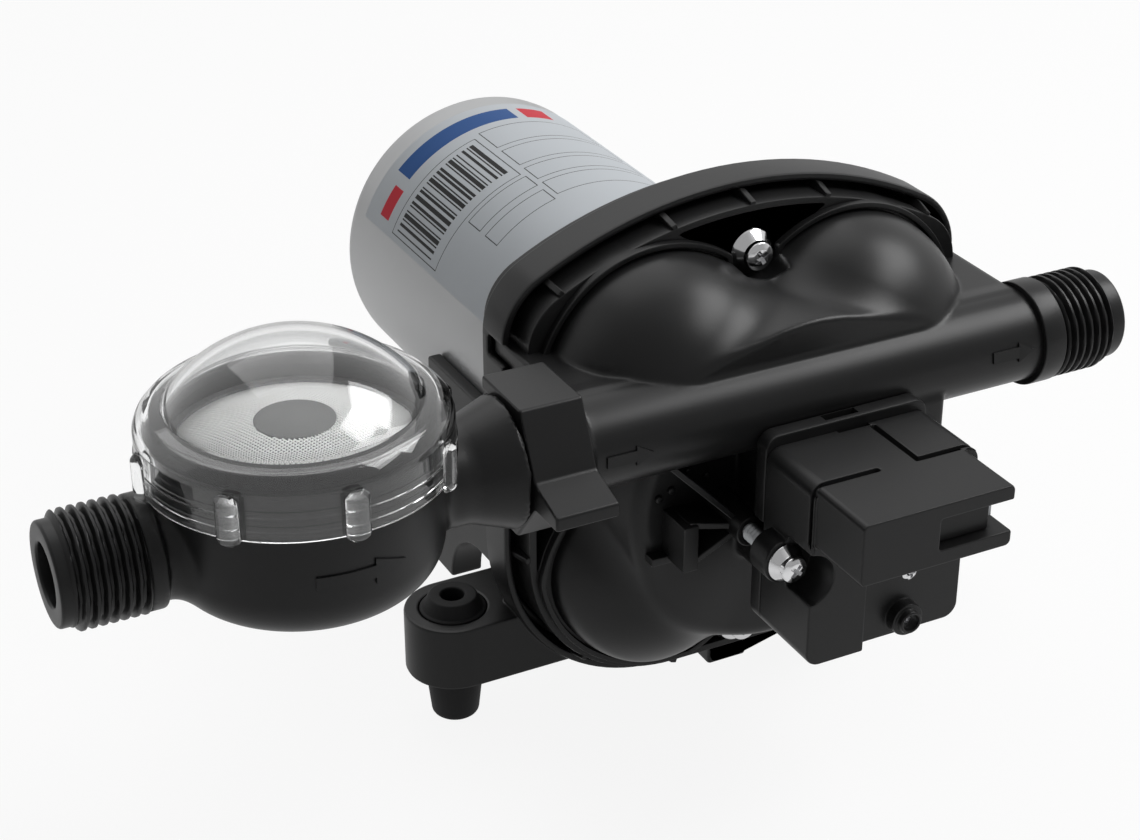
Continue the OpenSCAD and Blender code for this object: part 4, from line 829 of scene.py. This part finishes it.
points, faces = [], []
turn_cos, turn_sin = cos(WEAVE_TURN), sin(WEAVE_TURN)
for family in (0, 1):
    for line in np.arange(-34.5, 35) * WEAVE:
        half = sqrt(max(GAUZE_R ** 2 - line * line, 0))
        if half < 1:
            continue
        count = max(4, round(2 * half / WIRE_STEP))
        first = len(points)
        for k in range(count + 1):
            along = -half + 2 * half * k / count
            a, b = (line, along) if family else (along, line)
            px, py = a * turn_cos - b * turn_sin, a * turn_sin + b * turn_cos
            height = dome_height(px, py) + (WIRE_LIFT if family else -WIRE_LIFT)
            ax, ay = (turn_cos, turn_sin) if family else (-turn_sin, turn_cos)
            for q in range(4):
                out, up = WIRE * cos(q * pi / 2), WIRE * sin(q * pi / 2)
                points.append(((CUP_X + px + ax * out) * MM, (CUP_Y + py + ay * out) * MM,
                               (height + up) * MM))
        for k in range(count):
            for q in range(4):
                i, j = first + 4 * k, first + 4 * k + (q + 1) % 4
                faces.append((i + q, j, j + 4, i + q + 4))
        faces += [tuple(first + q for q in (3, 2, 1, 0)), tuple(first + 4 * count + q for q in range(4))]
gauze = dress(built("strainer_gauze", points, faces), gauze_wire)
bpy.ops.object.shade_smooth()
disc = turned("gauze_disc", [
    (0, dome_height(0, 0) - 0.3, 0), (DISC_R, dome_height(DISC_R, 0) - 0.3, 0),
    (DISC_R, dome_height(DISC_R, 0) + 0.35, 0.2), (3.5, dome_height(3.5, 0) + 0.4, 0),
    (0, dome_height(0, 0) + 0.4, 0)], CUP_CENTRE, ALONG_Z, 72)
stand_for(joined([gauze, dress(disc, grey_plastic)]), "strainer", "strainer_mesh")
dress(nodes["strainer_frame"], grey_plastic)

# Clear cover: one transparent moulding, a dome on a rounded flange with a skirt that turns onto the bowl and
# eight grip lugs round it. Two fine rings run round the skirt. Where the wall is seen edge-on its colour is
# painted dark: painted shade standing in for the dark reflections at the rims and lugs.
DOME_Z, DOME_OUTER, DOME_INNER = 83.48, 28.42, 26.82
LUG_RING, LUG_CUT = 26.5, 27.5
clear = bpy.data.materials.new("clear_plastic")
clear.use_nodes = True
tree = clear.node_tree
glass = tree.nodes["Principled BSDF"]
# Painted shade: the facing weight drives a ramp that turns the colour dark where the wall is seen edge-on.
facing, depth = tree.nodes.new("ShaderNodeLayerWeight"), tree.nodes.new("ShaderNodeValToRGB")
facing.inputs["Blend"].default_value = 0.42
for stop, position, colour in zip(depth.color_ramp.elements, (0.5, 0.95), (
        (0.98, 0.985, 0.985, 1), (0.06, 0.06, 0.06, 1))):
    stop.position, stop.color = position, colour
wire_up(tree, (facing, "Facing", depth, "Fac"), (depth, "Color", glass, "Base Color"))
for socket, value in (("Roughness", 0.02), ("IOR", 1.47), ("Transmission Weight", 1.0)):
    glass.inputs[socket].default_value = value
outer = [(DOME_OUTER * sin(a), DOME_Z + DOME_OUTER * cos(a), 0) for a in np.linspace(radians(51.6), 0, 26)]
inner = [(DOME_INNER * sin(a), DOME_Z + DOME_INNER * cos(a), 0) for a in np.linspace(0, radians(50.5), 26)]
filter_cover = turned("filter_cover_clear", [
    (25.6, 88.3, 0.3), (27.2, 88.3, 0.5), (27.2, 90.0, 0.1), (27.42, 90.2, 0.1), (27.42, 90.5, 0.1),
    (27.2, 90.7, 0.1), (27.2, 92.6, 0.1), (27.42, 92.8, 0.1), (27.42, 93.1, 0.1), (27.2, 93.3, 0.1),
    (27.2, 97.2, 0.9), (26.7, 98.6, 1.5), (24.9, 100.6, 1.6), (22.4, 101.05, 0.5)] + outer + inner + [
    (21.4, 99.5, 0.5), (24.1, 99.0, 1.0), (25.4, 97.4, 0.8), (25.6, 96.2, 0.3)],
    CUP_CENTRE, ALONG_Z, 160, True)
lugs = []
for i in range(8):
    angle = i * pi / 4
    lug = turned("lug", [
        (0, 97.0, 0), (1.5, 96.9, 0.6), (2.4, 95.8, 0.9), (2.4, 92.0, 0), (2.4, 88.4, 0.9), (1.4, 87.5, 0.6),
        (0, 87.5, 0)], (CUP_X + LUG_RING * cos(angle), CUP_Y + LUG_RING * sin(angle), 0), ALONG_Z, 32)
    behind = turned("behind", [(0, 86, 0), (LUG_CUT, 86, 0), (LUG_CUT, 99, 0), (0, 99, 0)],
                    CUP_CENTRE, ALONG_Z, 160)
    lugs.append(cut(lug, behind))
joined([filter_cover, *lugs])
pick(filter_cover)
smooth(34)
stand_for(dress(filter_cover, clear), "cover", "filter_cover")

# Pressure switch: a black box in two mouldings, a base against the head and a cover with the connector
# shroud, the adjuster tube and an ear for the clamp screw. The connector block sits in the shroud.
CORNER_X, CORNER_Z, CORNER_R = 17.2, 72.4, 3
for node, width, slot, front, rear in (
        ("switch_base", 0.5, oblong(-2.0, 73.6, 5.3, 77.6), -47.9, -46.0),
        ("switch_cover", 0.4, oblong(-0.4, 74.3, 6.6, 75.6), -50.1, -49.1)):
    piece = soften(moulding_of(node, node + "_moulding"), width)
    cut(piece, sawn("slot", [slot], front, rear, edge=0))
    for vertex in piece.data.vertices:
        out = Vector((vertex.co.x / MM - CORNER_X, vertex.co.z / MM - CORNER_Z))
        if node == "switch_cover" and min(out) > 0 and out.length > CORNER_R:
            vertex.co.x = (CORNER_X + out.x * CORNER_R / out.length) * MM
            vertex.co.z = (CORNER_Z + out.y * CORNER_R / out.length) * MM
    settle(piece)
    stand_for(dress(piece, black_plastic), "pump", node)
terminal_block = sawn("terminal_block_moulding", [oblong(-13.0, 66.0, 13.6, 72.2)], -78.5, -66.5)
stand_for(dress(terminal_block, black_plastic), "pump", "terminal_block")
dress(nodes["terminals"], core_steel)
dress(nodes["adjuster_screw"], chrome)

# Inside the switch: a moulded plunger on the diaphragm, its return spring wound from steel wire, and the
# microswitch it works. The plunger shortens the spring as it goes in; here the coil is built at one length.
COILS, COIL_STEPS, COIL_WIRE, WIRE_SIDES = 5.5, 28, 0.35 * MM, 8
dress(nodes["switch_plunger"], white_plastic)
low, high = (Vector(c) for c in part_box("switch_spring"))
seat = Vector(((low.x + high.x) / 2, low.y, (low.z + high.z) / 2))
points, faces = [], []
for k in range(int(COILS * COIL_STEPS) + 1):
    angle = k * tau / COIL_STEPS
    out = Vector((cos(angle), 0, sin(angle)))
    place = seat + out * ((high.x - low.x) / 2 - COIL_WIRE)
    place.y += COIL_WIRE + (high.y - low.y - 2 * COIL_WIRE) * k / (COILS * COIL_STEPS)
    for q in range(WIRE_SIDES):
        around = q * tau / WIRE_SIDES
        points.append(place + out * COIL_WIRE * cos(around) + Vector((0, COIL_WIRE * sin(around), 0)))
        if k:
            first, last, following = (k - 1) * WIRE_SIDES, k * WIRE_SIDES, (q + 1) % WIRE_SIDES
            faces.append((first + q, first + following, last + following, last + q))
faces += [tuple(range(WIRE_SIDES))[::-1], tuple(range(len(points) - WIRE_SIDES, len(points)))]
spring = built("switch_spring_coil", points, faces)
smooth(50)
stand_for(dress(spring, satin_steel), "pump", "switch_spring")
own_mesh(spring)
dress(nodes["microswitch"], dark_ferrite)

# Floor: a pale matt table for the shadow. To the camera and through clear plastic it looks white, and in
# reflections it glows only close to the object, so that black faces keep their depth.
GLOW_SPOT, GLOW_NEAR, GLOW_FAR = (-0.01, -0.05, 0), (0.07, 0.7), (0.2, 0.25)
bpy.ops.object.select_all(action="DESELECT")
bpy.ops.mesh.primitive_plane_add(size=12, location=(0, 0, 0))
floor = bpy.context.object
floor.name = "floor"
pale = bpy.data.materials.new("pale_floor")
pale.use_nodes = True
tree = pale.node_tree
base, surface = tree.nodes["Principled BSDF"], tree.nodes["Material Output"]
base.inputs["Base Color"].default_value = (0.86, 0.86, 0.86, 1)
base.inputs["Roughness"].default_value = 0.8
glow, ray, dimmed, either, also, seen, mixed, spot, away, near = (tree.nodes.new(kind) for kind in (
    "ShaderNodeEmission", "ShaderNodeLightPath", "ShaderNodeMath", "ShaderNodeMath", "ShaderNodeMath",
    "ShaderNodeMath", "ShaderNodeMixShader", "ShaderNodeNewGeometry", "ShaderNodeVectorMath",
    "ShaderNodeMapRange"))


def ranged(node, first, last):
    """Sets a map of values from (in, out) to (in, out)."""
    for end, (value, result) in (("Min", first), ("Max", last)):
        node.inputs["From " + end].default_value = value
        node.inputs["To " + end].default_value = result


away.operation = "DISTANCE"
away.inputs[1].default_value = GLOW_SPOT
ranged(near, GLOW_NEAR, GLOW_FAR)
dimmed.operation = seen.operation = "MULTIPLY"
either.operation = also.operation = "MAXIMUM"
seen.inputs[1].default_value = 0.9
wire_up(tree, (spot, "Position", away, 0), (away, "Value", near, "Value"), (near, "Result", dimmed, 1),
        (ray, "Is Glossy Ray", dimmed, 0), (ray, "Is Camera Ray", either, 0), (dimmed, 0, either, 1),
        (either, 0, also, 0), (ray, "Is Transmission Ray", also, 1), (also, 0, seen, 0),
        (seen, 0, mixed, "Fac"), (base, 0, mixed, 1), (glow, 0, mixed, 2), (mixed, 0, surface, "Surface"))
dress(floor, pale)

# Room: plain white to the camera and through clear plastic. In reflections it is bright behind the object and
# dimmer in front of it, as in front of a white backdrop. Its own light is weak.
BACKDROP, IN_FRONT, BEHIND = (0.457, 0.889, 0), (-0.45, 0.3), (0.1, 0.8)
world = bpy.data.worlds.new("white_room")
bpy.context.scene.world = world
world.use_nodes = True
tree = world.node_tree
room, surface = tree.nodes["Background"], tree.nodes["World Output"]
white, ray, either, also, mixed, place, behind, backdrop, share = (tree.nodes.new(kind) for kind in (
    "ShaderNodeBackground", "ShaderNodeLightPath", "ShaderNodeMath", "ShaderNodeMath", "ShaderNodeMixShader",
    "ShaderNodeTexCoord", "ShaderNodeVectorMath", "ShaderNodeMapRange", "ShaderNodeMath"))
room.inputs["Color"].default_value = white.inputs["Color"].default_value = (1, 1, 1, 1)
room.inputs["Strength"].default_value = 0.17
behind.operation, share.operation = "DOT_PRODUCT", "MULTIPLY"
behind.inputs[1].default_value = BACKDROP
ranged(backdrop, IN_FRONT, BEHIND)
either.operation = also.operation = "MAXIMUM"
wire_up(tree, (place, "Generated", behind, 0), (behind, "Value", backdrop, "Value"),
        (ray, "Is Camera Ray", either, 0), (ray, "Is Transmission Ray", either, 1),
        (ray, "Is Glossy Ray", share, 0), (backdrop, "Result", share, 1), (either, 0, also, 0),
        (share, 0, also, 1), (also, 0, mixed, "Fac"), (room, 0, mixed, 1), (white, 0, mixed, 2),
        (mixed, 0, surface, "Surface"))

# Lamps: four soft square lamps. The two strong ones in front stand high on the right, a wide one behind
# lights the top of the can, and a weak one fills the left.
LIT = Vector((-0.04, 0.0, 0.06))
for name, place, size, energy in (
        ("key_lamp", (0.6, -0.08, 0.75), 0.42, 4.2), ("front_lamp", (0.44, -0.38, 0.8), 0.32, 2.0),
        ("rear_lamp", (0.05, 0.5, 0.9), 0.8, 2.4), ("left_lamp", (-0.75, 0.4, 0.65), 0.5, 0.2)):
    lamp = bpy.data.lights.new(name, "AREA")
    lamp.size, lamp.energy = size, energy
    holder = placed(name, lamp)
    holder.location = place
    holder.rotation_euler = (LIT - Vector(place)).to_track_quat("-Z", "Y").to_euler()

# Camera: at the photograph's place, in front on the left and above, with its lens given as the focal length
# and width of the photograph in pixels.
FOCAL, WIDTH, SENSOR = 2323, 1140, 36
CAMERA_PLACE = Vector((-218.03, -364.22, 282.77)) * MM
azimuth, elevation, roll = radians(27.195), radians(28.369), radians(0.05)
ahead = Vector((sin(azimuth) * cos(elevation), cos(azimuth) * cos(elevation), -sin(elevation)))
level = Vector((cos(azimuth), -sin(azimuth), 0))
below = ahead.cross(level)
right = level * cos(roll) + below * sin(roll)
down = below * cos(roll) - level * sin(roll)
lens = bpy.data.cameras.new("camera")
lens.sensor_width = SENSOR
lens.lens = SENSOR * FOCAL / WIDTH
camera = placed("camera", lens)
camera.matrix_world = Matrix.Translation(CAMERA_PLACE) @ Matrix((right, -down, -ahead)).transposed().to_4x4()
bpy.context.scene.camera = camera
bpy.context.scene.view_settings.view_transform = "Standard"
